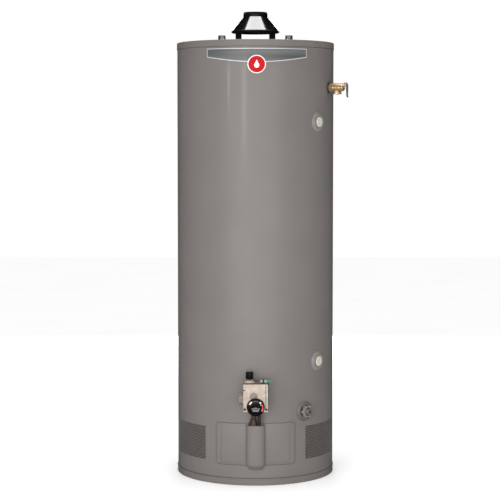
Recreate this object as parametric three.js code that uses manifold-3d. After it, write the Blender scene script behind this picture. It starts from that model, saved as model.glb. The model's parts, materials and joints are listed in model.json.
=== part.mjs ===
// Gas-fired tank water heater with an atmospheric draft hood.
// Millimetres, +Z up, front towards -Y. The origin is on the tank's axis at the floor.
// An azimuth is measured from the front towards +X, seen from above.
import * as THREE from 'three';
import { mergeVertices } from 'three/addons/utils/BufferGeometryUtils.js';
import Module from 'manifold-3d';

const wasm = await Module();
wasm.setup();

// Driving dimensions
const gap = 0.5;                 // clearance between pieces that touch
const sheet = 1.1;               // painted steel sheet
const jacketRadius = 333.5;      // outer jacket, outside
const jacketTop = 1836;          // flat top of the jacket's top pan
const panHeight = 27;            // skirt of the top pan
const baseHeight = 29;           // skirt of the base pan
const tankRadius = 304;          // pressure tank, outside
const tankWall = 3.5;
const tankBottom = 262;
const tankTop = 1750;
const bottomDomeRise = 55;       // the bottom head bulges up into the tank
const topDomeRise = 42;
const flueRadius = 50.8;
const flueWall = 3;
const flueTop = 1850;
const hoodCollarRadius = 51;     // 4 in vent collar
const hoodRimRadius = 101.5;
const hoodRim = 1881;
const hoodTop = 1969;
const nippleSpacing = 143;       // from the axis to each top nipple
const nippleRadius = 16.7;       // 1 in pipe thread, outside
const nippleBore = 13;
const nippleBottom = 1787;
const nippleTop = 1871;
const trapFloor = 1803;          // lower seat of the heat-trap ball
const trapRoom = 21;             // between the two seats
const trapBallRadius = 10;
const trapSeatBore = 7;
const anodePlace = 165;          // behind the axis
const doorHalfWidth = 163.5;     // access door, across the front
const doorBottom = 85;
const doorTop = 259;
const doorCorner = 13;
const channelHalfWidth = 38;     // half-round cover over the gas tubes
const channelDepth = 32;
const channelBottom = 67;
const channelTop = 254;
const tubeSlotHalfWidth = 33;    // slot in the door behind the channel
const screenStart = 38.3;        // azimuths of the air screens
const screenEnd = 141.7;
const screenBottom = 95;
const screenTop = 238;
const controlHeight = 377.7;     // centre of the gas control's front
const controlWidth = 102;
const controlTall = 113.5;
const controlFront = 418;        // front face, from the tank's axis
const coverDepth = 8;
const dialRadius = 37;
const dialHeight = 342;
const knobRadius = 16;
const knobPlace = { x: -25, y: -382, bottom: 452, top: 482 };
const igniterPlace = { y: -392, z: 443, radius: 8 };
const tubeDepth = 349;           // gas tubes inside the channel, from the axis
const supplyTube = { x: -9, radius: 9.5 };
const sleeveTube = { x: 14.5, radius: 5 };
const pilotTube = { x: 26.5, radius: 3.6 };
const supplyInlet = 152;         // height where the supply tube turns into the chamber
const reliefPlace = { azimuth: 67, height: 1645 };
const drainPlace = { azimuth: 37.5, height: 300 };
const tapAzimuth = 51.2;
const tapHeights = { lower: 502, upper: 1501 };
const badge = { from: -36.6, to: 38.8, top: 1800, endDrop: 36, middleDrop: 57 };
const roundel = { x: 4, z: 1734.5, radius: 37.5 };

const shellSegments = 72;
const innerSegments = 36;

// Materials
const material = (color, roughness, metalness) =>
  new THREE.MeshStandardMaterial({ color, roughness, metalness });
const taupePaint = material(0x8f8a86, 0.4, 0.1);
const enamelSteel = material(0x3b3f45, 0.6, 0.5);
const blackGloss = material(0x17171c, 0.15, 0.0);
const blackPlastic = material(0x161616, 0.35, 0.0);
const tealPlastic = material(0x1f9c7d, 0.4, 0.0);
const greyPlastic = material(0x8d8985, 0.5, 0.0);
const creamPlastic = material(0xcdcab8, 0.5, 0.0);
const castAluminium = material(0xc8b8a4, 0.45, 0.7);
const plainAluminium = material(0xb9bbbd, 0.35, 0.9);
const zincSteel = material(0xb8babd, 0.3, 0.9);
const stainlessSteel = material(0xa9a8a6, 0.3, 1.0);
const brass = material(0xb89556, 0.3, 0.9);
const copper = material(0xa0684a, 0.35, 0.9);
const foam = material(0xd9c58a, 0.95, 0.0);
const glassFibre = material(0xd8d2c4, 0.95, 0.0);
const ceramicTile = material(0xc9b8a0, 0.9, 0.0);
const clearGlass = material(0xbfd0cc, 0.1, 0.0);
const badgeGrey = material(0x6f7072, 0.3, 0.4);
const roundelRed = material(0xd22d31, 0.3, 0.0);
const trapPlastic = material(0xe8e6df, 0.5, 0.0);
const blackSleeve = material(0x1b1a19, 0.7, 0.0);

// Geometry helpers: each returns a BufferGeometry in the object's frame unless it says otherwise
const degrees = THREE.MathUtils.degToRad;

function solid(geometry) {
  const bare = geometry.index ? geometry.toNonIndexed() : geometry.clone();
  bare.deleteAttribute('normal');
  bare.deleteAttribute('uv');
  const merged = mergeVertices(bare, 1e-4);
  return new wasm.Manifold(new wasm.Mesh({
    numProp: 3,
    vertProperties: new Float32Array(merged.attributes.position.array),
    triVerts: new Uint32Array(merged.index.array),
  }));
}

function geometryOf(body) {
  const mesh = body.getMesh();
  const geometry = new THREE.BufferGeometry();
  geometry.setAttribute('position', new THREE.BufferAttribute(mesh.vertProperties, 3));
  geometry.setIndex(new THREE.BufferAttribute(mesh.triVerts, 1));
  return geometry;
}

const cut = (geometry, ...tools) =>
  geometryOf(tools.reduce((body, tool) => body.subtract(solid(tool)), solid(geometry)));
const join = (geometry, ...others) =>
  geometryOf(others.reduce((body, other) => body.add(solid(other)), solid(geometry)));
const common = (a, b) => geometryOf(solid(a).intersect(solid(b)));

// A body of revolution about Z from [radius, height] points. A profile off the axis closes on itself.
function lathe(points, segments = innerSegments) {
  const profile = points.map(([r, z]) => new THREE.Vector2(r, z));
  const onAxis = points[0][0] === 0 && points.at(-1)[0] === 0;
  if (!onAxis) profile.push(profile[0].clone());
  const area = profile.reduce((sum, p, i) => {
    const q = profile[(i + 1) % profile.length];
    return sum + p.x * q.y - q.x * p.y;
  }, 0);
  if (area < 0) profile.reverse();
  return new THREE.LatheGeometry(profile, segments).rotateX(Math.PI / 2);
}

const ring = (outer, inner, low, high, segments) =>
  lathe([[inner, low], [outer, low], [outer, high], [inner, high]], segments);
const disc = (radius, low, high, segments = 24) =>
  new THREE.CylinderGeometry(radius, radius, high - low, segments)
    .rotateX(Math.PI / 2).translate(0, 0, (low + high) / 2);
const block = (x0, x1, y0, y1, z0, z1) =>
  new THREE.BoxGeometry(x1 - x0, y1 - y0, z1 - z0)
    .translate((x0 + x1) / 2, (y0 + y1) / 2, (z0 + z1) / 2);
const rodAlongX = (radius, x0, x1, y, z, segments = 20) =>
  disc(radius, x0, x1, segments).rotateY(Math.PI / 2).translate(0, y, z);
const rodAlongY = (radius, y0, y1, x, z, segments = 24) =>
  disc(radius, -y1, -y0, segments).rotateX(Math.PI / 2).translate(x, 0, z);

function roundedOutline(halfWidth, low, high, corner) {
  const shape = new THREE.Shape();
  shape.moveTo(-halfWidth + corner, low);
  shape.lineTo(halfWidth - corner, low);
  shape.absarc(halfWidth - corner, low + corner, corner, -Math.PI / 2, 0, false);
  shape.lineTo(halfWidth, high - corner);
  shape.absarc(halfWidth - corner, high - corner, corner, 0, Math.PI / 2, false);
  shape.lineTo(-halfWidth + corner, high);
  shape.absarc(-halfWidth + corner, high - corner, corner, Math.PI / 2, Math.PI, false);
  shape.lineTo(-halfWidth, low + corner);
  shape.absarc(-halfWidth + corner, low + corner, corner, Math.PI, 1.5 * Math.PI, false);
  return shape;
}

// An outline in X and Z, extruded along Y from y0 to y1
const extrudeAlongY = (shape, y0, y1, curveSegments = 4) =>
  new THREE.ExtrudeGeometry(shape, { depth: y1 - y0, bevelEnabled: false, curveSegments })
    .rotateX(Math.PI / 2).translate(0, y1, 0);

// A frame on the jacket: local +Z points out of the tank, +Y up, +X to the viewer's right
function stationMatrix(azimuth, height) {
  const a = degrees(azimuth);
  const right = new THREE.Vector3(Math.cos(a), Math.sin(a), 0);
  const out = new THREE.Vector3(Math.sin(a), -Math.cos(a), 0);
  return new THREE.Matrix4().makeBasis(right, new THREE.Vector3(0, 0, 1), out)
    .setPosition(0, 0, height);
}

const radialDisc = (radius, inner, outer, azimuth, height, segments = 24) =>
  disc(radius, inner, outer, segments).applyMatrix4(stationMatrix(azimuth, height));

// A sector of azimuths, as a cutter that reaches from the axis past the jacket
function sector(from, to, low, high) {
  const reach = 500;
  const steps = 6;
  const shape = new THREE.Shape();
  shape.moveTo(0, 0);
  for (let i = 0; i <= steps; i++) {
    const a = degrees(from + ((to - from) * i) / steps);
    shape.lineTo(reach * Math.sin(a), -reach * Math.cos(a));
  }
  shape.closePath();
  return new THREE.ExtrudeGeometry(shape, { depth: high - low, bevelEnabled: false })
    .translate(0, 0, low);
}

// A round tube along straight runs with rounded corners
function tube(points, radius, bend, halfSides = 5) {
  const path = new THREE.CurvePath();
  const corners = points.map((p) => new THREE.Vector3(...p));
  let start = corners[0];
  for (let i = 1; i < corners.length - 1; i++) {
    const before = corners[i].clone().sub(corners[i - 1]).normalize();
    const after = corners[i + 1].clone().sub(corners[i]).normalize();
    const enter = corners[i].clone().addScaledVector(before, -bend);
    const leave = corners[i].clone().addScaledVector(after, bend);
    path.add(new THREE.LineCurve3(start, enter));
    path.add(new THREE.QuadraticBezierCurve3(enter, corners[i], leave));
    start = leave;
  }
  path.add(new THREE.LineCurve3(start, corners.at(-1)));
  const section = new THREE.Shape();
  section.absarc(0, 0, radius, 0, 2 * Math.PI, false);
  return new THREE.ExtrudeGeometry(section, {
    steps: 16, curveSegments: halfSides, bevelEnabled: false, extrudePath: path,
  });
}

const heater = new THREE.Group();
heater.name = 'tank_water_heater';

function add(name, geometry, finish, group = heater) {
  const mesh = new THREE.Mesh(geometry, finish);
  mesh.name = name;
  group.add(mesh);
  return mesh;
}

function station(azimuth, height) {
  const group = new THREE.Group();
  group.applyMatrix4(stationMatrix(azimuth, height));
  heater.add(group);
  return group;
}

const bottomDome = (r) => tankBottom + 18 + bottomDomeRise * (1 - (r / (tankRadius - tankWall)) ** 2);
const topDome = (r) => tankTop + topDomeRise * (1 - (r / (tankRadius - tankWall)) ** 2);
const domeRadii = (inner, outer) => [0, 0.4, 0.75, 1].map((t) => inner + t * (outer - inner));

// Holes that every fitting needs through the jacket, the foam and the tank wall
const fittings = [
  { azimuth: 0, height: controlHeight, tank: 17.2, wall: 24 },
  { azimuth: drainPlace.azimuth, height: drainPlace.height, tank: 13.8, wall: 21 },
  { azimuth: reliefPlace.azimuth, height: reliefPlace.height, tank: 13.8, wall: 21 },
  { azimuth: tapAzimuth, height: tapHeights.lower, tank: 13.8, wall: 24 },
  { azimuth: tapAzimuth, height: tapHeights.upper, tank: 13.8, wall: 24 },
];
const wallHoles = () =>
  fittings.map((f) => radialDisc(f.wall, 250, 400, f.azimuth, f.height, 16));
const tankHoles = () =>
  fittings.map((f) => radialDisc(f.tank, 250, 400, f.azimuth, f.height, 16));

const doorScrews = [-153, 153].map((x) => ({ x, z: 98 }));

// Shell: outer jacket, top pan, base pan and the air screens
function outerJacket() {
  const wall = ring(jacketRadius, jacketRadius - sheet, 3, jacketTop - 5, shellSegments);
  const opening = extrudeAlongY(roundedOutline(138, 104, 240, 12), -400, -200);
  const windows = [1, -1].map((side) => side > 0
    ? sector(screenStart, screenEnd, screenBottom, screenTop)
    : sector(-screenEnd, -screenStart, screenBottom, screenTop));
  const screwHoles = doorScrews.map(({ x, z }) => rodAlongY(6, -400, -200, x, z, 12));
  return cut(wall, opening, ...windows, ...screwHoles, ...wallHoles());
}

function topPan() {
  const outer = jacketRadius + 1.5;
  const edge = 5;
  const bend = [0, 45, 90].map((a) => [
    outer - edge + edge * Math.cos(degrees(a)), jacketTop - edge + edge * Math.sin(degrees(a))]);
  const profile = [
    [0, jacketTop - sheet], [outer - edge, jacketTop - sheet], [outer - sheet, jacketTop - edge],
    [outer - sheet, jacketTop - panHeight], [outer, jacketTop - panHeight], ...bend, [0, jacketTop],
  ];
  const holes = [
    disc(flueRadius + 5, 1800, 1900, 32),
    ...[-1, 1].map((s) => disc(nippleRadius + 2.5, 1800, 1900, 20).translate(s * nippleSpacing, 0, 0)),
    disc(21, 1800, 1900, 20).translate(0, anodePlace, 0),
  ];
  return cut(lathe(profile, shellSegments), ...holes);
}

function basePan() {
  const outer = jacketRadius + 1.5;
  return lathe([
    [0, 0], [outer - 2, 0], [outer, 2], [outer, baseHeight], [outer - sheet, baseHeight],
    [outer - sheet, 2.2], [0, 2.2],
  ], shellSegments);
}

function airScreen(side) {
  const outer = jacketRadius - sheet - 0.6;
  const wall = ring(outer, outer - 1, screenBottom - 6, screenTop + 6, shellSegments);
  const [from, to] = side > 0 ? [screenStart - 1.5, screenEnd + 1.5] : [-screenEnd - 1.5, -screenStart + 1.5];
  return common(wall, sector(from, to, screenBottom - 20, screenTop + 20));
}

add('outer_jacket', outerJacket(), taupePaint);
add('jacket_top', topPan(), taupePaint);
add('base_pan', basePan(), taupePaint);
add('air_screen_left', airScreen(-1), taupePaint);
add('air_screen_right', airScreen(1), taupePaint);

// Pressure tank: shell, heads, flue and baffle
function tankShell() {
  const shell = ring(tankRadius, tankRadius - tankWall, tankBottom, tankTop, innerSegments);
  const spuds = fittings.map((f) => radialDisc(f.tank + 7, 302, 316, f.azimuth, f.height, 12));
  return cut(join(shell, ...spuds), ...tankHoles());
}

function domedHead(dome, flange, inner) {
  const outer = tankRadius - tankWall - gap;
  const under = domeRadii(inner, outer - tankWall).map((r) => [r, dome(r) - tankWall]);
  const over = domeRadii(inner, outer).map((r) => [r, dome(r)]).reverse();
  return lathe([...under, [outer - tankWall, flange], [outer, flange], ...over], innerSegments);
}

function topHead() {
  const head = domedHead(topDome, tankTop - 24, flueRadius + gap);
  const spud = (x, y, radius) => disc(radius, topDome(Math.hypot(x, y)) - 8, 1822, 16).translate(x, y, 0);
  const spuds = [
    spud(nippleSpacing, 0, 23), spud(-nippleSpacing, 0, 23), spud(0, anodePlace, 20)];
  const ledge = nippleBottom - 6;
  const bores = [-1, 1].flatMap((s) => [
    disc(nippleRadius + gap, ledge, 1850, 18).translate(s * nippleSpacing, 0, 0),
    disc(10.5, 1700, 1850, 12).translate(s * nippleSpacing, 0, 0),
  ]);
  return cut(join(head, ...spuds), ...bores, disc(12, 1700, 1850, 20).translate(0, anodePlace, 0));
}

function flueBaffle() {
  const width = 56;
  const amplitude = 21;
  const folds = 22;
  const low = 420;
  const high = flueTop + 1;
  const thick = 2;
  const zigzag = [];
  for (let i = 0; i <= folds; i++) {
    zigzag.push([i % 2 ? amplitude : -amplitude, low + ((high - low) * i) / folds]);
  }
  const shape = new THREE.Shape();
  zigzag.forEach(([x, z], i) => (i ? shape.lineTo(x - thick / 2, z) : shape.moveTo(x - thick / 2, z)));
  [...zigzag].reverse().forEach(([x, z]) => shape.lineTo(x + thick / 2, z));
  shape.closePath();
  const strip = extrudeAlongY(shape, -width / 2, width / 2);
  const hanger = block(-54, 54, -8, 8, flueTop + gap, flueTop + gap + 1.6);
  return join(strip, hanger);
}

add('tank_shell', tankShell(), enamelSteel);
add('tank_top_head', topHead(), enamelSteel);
add('tank_bottom_head', domedHead(bottomDome, tankBottom, flueRadius + gap), enamelSteel);
add('flue_tube', ring(flueRadius, flueRadius - flueWall, tankBottom + 50, flueTop, 32), enamelSteel);
add('flue_baffle', flueBaffle(), stainlessSteel);

// Insulation
function sideFoam() {
  const foamHoles = fittings.map((f) =>
    radialDisc(Math.max(f.wall, f.tank + 8), 250, 400, f.azimuth, f.height, 20));
  const foamRing = ring(jacketRadius - 2.4, tankRadius + 1.6, tankBottom + 4, tankTop, innerSegments);
  return cut(foamRing, ...foamHoles);
}

function topFoam() {
  const outer = jacketRadius - 2.4;
  const under = domeRadii(flueRadius + 2, tankRadius - 8).map((r) => [r, topDome(r) + 3]);
  const pad = lathe([
    ...under, [outer, tankTop + 3], [outer, jacketTop - 6.5], [flueRadius + 2, jacketTop - 2.5],
  ], innerSegments);
  const holes = [
    disc(24, 1700, 1900, 20).translate(nippleSpacing, 0, 0),
    disc(24, 1700, 1900, 20).translate(-nippleSpacing, 0, 0),
    disc(22, 1700, 1900, 20).translate(0, anodePlace, 0),
  ];
  return cut(pad, ...holes);
}

add('side_insulation', sideFoam(), foam);
add('top_insulation', topFoam(), glassFibre);

// Top fittings: nipples with their heat traps, dip tube and anode rod
function nipple() {
  const trapCeiling = trapFloor + trapRoom;
  return lathe([
    [nippleBore, nippleBottom], [nippleRadius, nippleBottom], [nippleRadius, nippleTop],
    [nippleBore, nippleTop], [nippleBore, trapCeiling + 3], [trapSeatBore, trapCeiling + 3],
    [trapSeatBore, trapCeiling], [nippleBore, trapCeiling], [nippleBore, trapFloor],
    [trapSeatBore, trapFloor], [trapSeatBore, trapFloor - 3], [nippleBore, trapFloor - 3],
  ], 18);
}

function dipTube() {
  const top = nippleBottom - gap;
  return lathe([
    [7.5, 500], [9.5, 500], [9.5, top - 4], [nippleRadius - 0.5, top - 4], [nippleRadius - 0.5, top],
    [7.5, top],
  ], 16);
}

function anodeRod() {
  const rod = disc(10.5, 620, 1822.5, 16);
  const head = disc(15.5, 1822.5, 1843, 6);
  return join(rod, head);
}

const ballRest = trapFloor + Math.sqrt(trapBallRadius ** 2 - trapSeatBore ** 2) + gap;
for (const [name, side] of [['cold', -1], ['hot', 1]]) {
  add(`${name}_nipple`, nipple(), zincSteel).position.set(side * nippleSpacing, 0, 0);
  const ball = new THREE.SphereGeometry(trapBallRadius, 12, 8);
  add(`${name}_trap_ball`, ball, trapPlastic).position.set(side * nippleSpacing, 0, ballRest);
}
add('dip_tube', dipTube(), trapPlastic).position.set(-nippleSpacing, 0, 0);
add('anode_rod', anodeRod(), plainAluminium).position.set(0, anodePlace, 0);

// Draft hood on four legs
function draftHood() {
  const wall = 1.6;
  const shoulder = hoodTop - 21;
  return lathe([
    [hoodRimRadius - wall, hoodRim], [hoodRimRadius, hoodRim], [hoodRimRadius, hoodRim + 6],
    [hoodCollarRadius, shoulder], [hoodCollarRadius, hoodTop], [hoodCollarRadius - 3, hoodTop],
    [hoodCollarRadius - 3, hoodTop - 4], [hoodCollarRadius - wall, hoodTop - 4],
    [hoodCollarRadius - wall, shoulder], [hoodRimRadius - wall, hoodRim + 5.5],
  ], innerSegments);
}

// A leg stands on the top pan and ends inside the hood's rim
const legWidth = 36;
const legAzimuth = 48.5;         // from the front or the back, on both sides

function hoodLeg() {
  const inner = hoodRimRadius - 4;
  const thick = 2;
  const shape = new THREE.Shape();
  shape.moveTo(inner - thick, hoodRim + 4);
  shape.lineTo(inner - thick, jacketTop + gap + thick);
  shape.lineTo(inner - thick - 16, jacketTop + gap + thick);
  shape.lineTo(inner - thick - 16, jacketTop + gap);
  shape.lineTo(inner, jacketTop + gap);
  shape.lineTo(inner, hoodRim + 4);
  shape.closePath();
  return extrudeAlongY(shape, -legWidth / 2, legWidth / 2);
}

add('draft_hood', draftHood(), blackGloss);
for (const [name, azimuth] of [
  ['front_right', legAzimuth], ['back_right', 180 - legAzimuth],
  ['back_left', 180 + legAzimuth], ['front_left', -legAzimuth]]) {
  const leg = add(`hood_leg_${name}`, hoodLeg(), blackGloss);
  leg.rotation.z = degrees(azimuth - 90);
}

// Combustion chamber: skirt, floor, flame arrestor, burner, pilot and inner door
const chamberRadius = tankRadius - 2;
const innerDoor = { halfWidth: 112, low: 112, high: 234, corner: 10 };

function combustionSkirt() {
  const wall = ring(tankRadius, chamberRadius, 3, tankBottom - gap, innerSegments);
  const opening = extrudeAlongY(roundedOutline(98, 124, 222, 8), -400, -200);
  const airHoles = [30, 90, 150, 210, 270, 330].map((a) => radialDisc(18, 250, 350, a, 34, 12));
  const floor = ring(chamberRadius + 1, 112, 70, 72, innerSegments);
  return cut(join(wall, floor), opening, ...airHoles);
}

function burnerHead() {
  const head = lathe([
    [0, 126], [95, 126], [112, 138], [112, 150], [95, 158], [0, 158],
  ], 24);
  const stem = disc(26, 100, 130, 20);
  const venturi = rodAlongY(21, -196, 0, supplyTube.x, supplyInlet - 28, 20);
  return join(head, stem, venturi);
}

function curvedPanel(outline, inner, outer, segments = shellSegments) {
  return common(ring(outer, inner, 0, 400, segments), extrudeAlongY(outline, -420, -60));
}

function innerDoorPanel() {
  const outline = roundedOutline(innerDoor.halfWidth, innerDoor.low, innerDoor.high, innerDoor.corner);
  const panel = curvedPanel(outline, tankRadius + 2.6, tankRadius + 4.6);
  const tubeHole = extrudeAlongY(
    roundedOutline(29, supplyInlet - 14, supplyInlet + 14, 6), -400, -200).translate(7, 0, 0);
  return cut(panel, tubeHole, rodAlongY(20, -400, -200, 72, 186, 20));
}

function innerDoorGasket() {
  const outline = roundedOutline(innerDoor.halfWidth - 2, innerDoor.low + 2, innerDoor.high - 2, 9);
  const hole = extrudeAlongY(roundedOutline(99, 123, 223, 8), -400, -200);
  return cut(curvedPanel(outline, tankRadius + 0.5, tankRadius + 2.2), hole);
}

function sightGlass() {
  const depth = Math.sqrt(tankRadius ** 2 - 72 ** 2);
  return rodAlongY(19.4, -depth - 1.5, -depth + 2.5, 0, 0, 20);
}

add('combustion_skirt', combustionSkirt(), enamelSteel);
add('flame_arrestor', disc(111.4, 70, 82, 32), ceramicTile);
add('burner', burnerHead(), stainlessSteel);
add('inner_door', innerDoorPanel(), enamelSteel);
add('inner_door_gasket', innerDoorGasket(), glassFibre);
const lens = add('sight_glass', sightGlass(), clearGlass);
lens.position.set(72, 0, 186);

// Tubes from the gas control, down the channel and through the inner door
const controlBottom = controlHeight - controlTall / 2;
const tubeTop = controlBottom + 2 - gap;

function supplyLine() {
  const { x, radius } = supplyTube;
  const line = tube([
    [x, -tubeDepth, tubeTop], [x, -tubeDepth, supplyInlet], [x, -240, supplyInlet],
    [x, -212, supplyInlet - 28], [x, -197, supplyInlet - 28],
  ], radius, 12);
  const nut = disc(14.5, tubeTop - 26, tubeTop - 4, 6).rotateZ(degrees(30)).translate(x, -tubeDepth, 0);
  const collar = disc(12, tubeTop - 8, tubeTop, 16).translate(x, -tubeDepth, 0);
  return join(line, nut, collar);
}

function pilotLine() {
  const { x, radius } = pilotTube;
  const end = 150;
  const line = tube([
    [x, -tubeDepth, tubeTop], [x, -tubeDepth, supplyInlet], [x, -end, supplyInlet],
  ], radius, 12, 4);
  return join(line, disc(6.5, tubeTop - 12, tubeTop, 6).translate(x, -tubeDepth, 0));
}

const sleeveLine = () => tube([
  [sleeveTube.x, -tubeDepth, tubeTop], [sleeveTube.x, -tubeDepth, supplyInlet],
  [sleeveTube.x, -150, supplyInlet],
], sleeveTube.radius, 12);

function pilotAssembly() {
  const bracket = block(8, 38, -149.5, -128, supplyInlet - 6, supplyInlet + 6);
  const hood = rodAlongY(5, -132, -116, 28, supplyInlet + 2, 12);
  const sensor = rodAlongY(3, -132, -114, 15, supplyInlet + 2, 10);
  return join(bracket, hood, sensor);
}

add('burner_supply_tube', supplyLine(), copper);
add('pilot_tube', pilotLine(), plainAluminium);
add('thermocouple_lead', sleeveLine(), blackSleeve);
add('pilot_assembly', pilotAssembly(), stainlessSteel);

// Access door with the half-round channel cover; the slot behind the channel is open at the top
function accessDoor() {
  const outline = roundedOutline(doorHalfWidth, doorBottom, doorTop, doorCorner);
  const panel = curvedPanel(outline, jacketRadius + gap, jacketRadius + gap + sheet);
  const slot = block(-tubeSlotHalfWidth, tubeSlotHalfWidth, -400, -200, 116, 300);
  return cut(panel, slot, ...doorScrews.map(({ x, z }) => rodAlongY(2.6, -400, -200, x, z, 12)));
}

function channelOutline(halfWidth, depth) {
  const y = -Math.sqrt((jacketRadius + gap + sheet) ** 2 - channelHalfWidth ** 2) - 0.4;
  const shape = new THREE.Shape();
  shape.moveTo(halfWidth, y);
  shape.absellipse(0, y, halfWidth, depth, 0, -Math.PI, true);
  shape.closePath();
  return shape;
}

function channelCover() {
  const extrude = (shape, low, high) =>
    new THREE.ExtrudeGeometry(shape, { depth: high - low, bevelEnabled: false, curveSegments: 20 })
      .translate(0, 0, low);
  const shell = extrude(channelOutline(channelHalfWidth, channelDepth), channelBottom, channelTop);
  const hollow = extrude(channelOutline(channelHalfWidth - 1.4, channelDepth - 1.4), channelBottom + 6, 300);
  const rounding = extrudeAlongY(roundedOutline(channelHalfWidth, channelBottom, 300, 9), -400, -200, 5);
  const jacketSide = ring(jacketRadius + gap + sheet + 0.3, 200, 60, 280, shellSegments);
  return cut(common(shell, rounding), hollow, jacketSide);
}

function doorScrew({ x, z }) {
  const face = Math.sqrt((jacketRadius + gap + sheet) ** 2 - x ** 2);
  const head = lathe([[0, 0], [4.4, 0], [4.4, 1.2], [2.6, 2.6], [0, 2.6]], 16);
  const shank = disc(2.1, -9, 0.5, 10);
  return join(head, shank).rotateX(Math.PI / 2).translate(x, -face - 3.6, z);
}

add('access_door', accessDoor(), taupePaint);
add('channel_cover', channelCover(), taupePaint);
for (const place of doorScrews) {
  add(`door_screw_${place.x < 0 ? 'left' : 'right'}`, doorScrew(place), zincSteel);
}

// Gas control
const coverBack = -controlFront + coverDepth;
const bodyFront = coverBack + gap;
const bodyTop = controlHeight + controlTall / 2 - 2;

function controlBody() {
  const half = controlWidth / 2 - 3;
  const casting = block(-half, half, bodyFront, -344, controlBottom + 2, bodyTop);
  const shank = rodAlongY(16.6, -350, -298.5, 0, controlHeight, 24);
  const hexBoss = new THREE.CylinderGeometry(23, 23, 22, 6).rotateZ(Math.PI / 2)
    .translate(-half - 9, -375, 368);
  const dome = lathe([
    [0, bodyTop - 4], [24.5, bodyTop - 4], [24.5, bodyTop + 7], [20, bodyTop + 12],
    [0, bodyTop + 12],
  ], 20).translate(knobPlace.x, knobPlace.y, 0);
  const inletBore = rodAlongX(10.5, -half - 40, -half - 4, -375, 368, 20);
  const stemBore = disc(5.4, bodyTop - 8, bodyTop + 30, 16).translate(knobPlace.x, knobPlace.y, 0);
  return cut(join(casting, shank, hexBoss, dome), inletBore, stemBore);
}

function controlCover() {
  const outline = roundedOutline(controlWidth / 2, controlBottom, controlBottom + controlTall, 3);
  const plate = extrudeAlongY(outline, -controlFront, coverBack, 2);
  const slots = [-1, 1].map((s) => block(s * 47 - 5, s * 47 + 5, -420, -415, 392, 396));
  return cut(plate, ...slots, rodAlongY(4.6, -430, -400, 0, dialHeight, 16));
}

function temperatureDial() {
  const back = 0.6;
  const face = lathe([
    [0, back], [dialRadius, back], [dialRadius, 9], [dialRadius - 4, 12], [17, 12], [15, 19],
    [0, 19],
  ], 28);
  return join(face, disc(4, -5, 1, 16));
}

const gasKnob = () => lathe([
  [0, knobPlace.bottom + 10], [4.6, knobPlace.bottom + 10], [4.6, knobPlace.bottom], [14, knobPlace.bottom],
  [knobRadius, knobPlace.bottom + 4], [knobRadius, knobPlace.top - 2], [14, knobPlace.top],
  [0, knobPlace.top],
], 20);
const gasStem = () => disc(4.2, bodyTop - 1, knobPlace.bottom + 9.6, 16);

add('gas_control_body', controlBody(), castAluminium);
add('gas_control_cover', controlCover(), castAluminium);
add('thermostat_probe', rodAlongY(9.5, -298, -150, 0, controlHeight, 20), copper);
const dial = add('temperature_dial', temperatureDial(), blackPlastic);
dial.rotation.x = Math.PI / 2;
dial.position.set(0, -controlFront, dialHeight);
for (const [name, geometry, finish] of [
  ['gas_cock_stem', gasStem(), zincSteel], ['gas_cock_knob', gasKnob(), blackPlastic]]) {
  add(name, geometry, finish).position.set(knobPlace.x, knobPlace.y, 0);
}

// Igniter: its barrel lies along X on top of the control, with the button at its right end
const igniterEnd = 46;

function igniterBarrel() {
  const { y, z, radius } = igniterPlace;
  const barrel = rodAlongX(radius, 18, igniterEnd, y, z, 16);
  const foot = block(22, 42, y - 6, y + 6, bodyTop + gap, z);
  return cut(join(barrel, foot), rodAlongX(5.4, 26, 60, y, z, 16));
}

function igniterButton() {
  const { y, z, radius } = igniterPlace;
  const cap = rodAlongX(radius + 0.5, igniterEnd + 6.6, igniterEnd + 14, y, z, 20);
  return join(cap, rodAlongX(4.8, igniterEnd - 12, igniterEnd + 8, y, z, 16));
}

add('igniter_barrel', igniterBarrel(), greyPlastic);
add('igniter_button', igniterButton(), tealPlastic);

// Relief valve, in its own frame: local +Z out of the tank, +Y up
const relief = station(reliefPlace.azimuth, reliefPlace.height);
const reliefEnd = 402;           // end of the bonnet, from the tank's axis
const reliefOutlet = 371;        // the outlet points down here
const reliefSeat = 352;
const leverPivot = { up: 16.5, out: reliefEnd + 7 };

const spout = (radius, length) =>
  new THREE.CylinderGeometry(radius, radius, length, 18).translate(0, -length / 2, reliefOutlet);

function reliefBody() {
  const body = lathe([
    [0, 296], [13.3, 296], [13.3, 340], [16.5, 340], [16.5, 386], [13, 392], [13, reliefEnd],
    [0, reliefEnd],
  ], 18);
  const hex = disc(20, 341, 352, 6);
  const lugs = [-1, 1].map((s) => block(s * 8 - 1.5, s * 8 + 1.5, 4, 21, reliefEnd - 4, reliefEnd + 11.5));
  const waterway = lathe([
    [0, 290], [7.5, 290], [7.5, reliefSeat], [12, reliefSeat], [12, 384], [0, 384]], 20);
  const stemHole = disc(3.2, 380, 420, 12);
  const pinHole = rodAlongX(2, -20, 20, leverPivot.up, leverPivot.out, 12);
  return cut(join(body, hex, spout(17, 29), ...lugs), waterway, stemHole, pinHole, spout(11, 40));
}

function reliefStem() {
  const disk = disc(10.5, reliefSeat + 0.4, reliefSeat + 4, 20);
  const rod = disc(2.4, reliefSeat + 3, reliefEnd + 2, 10);
  return join(disk, rod);
}

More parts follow.
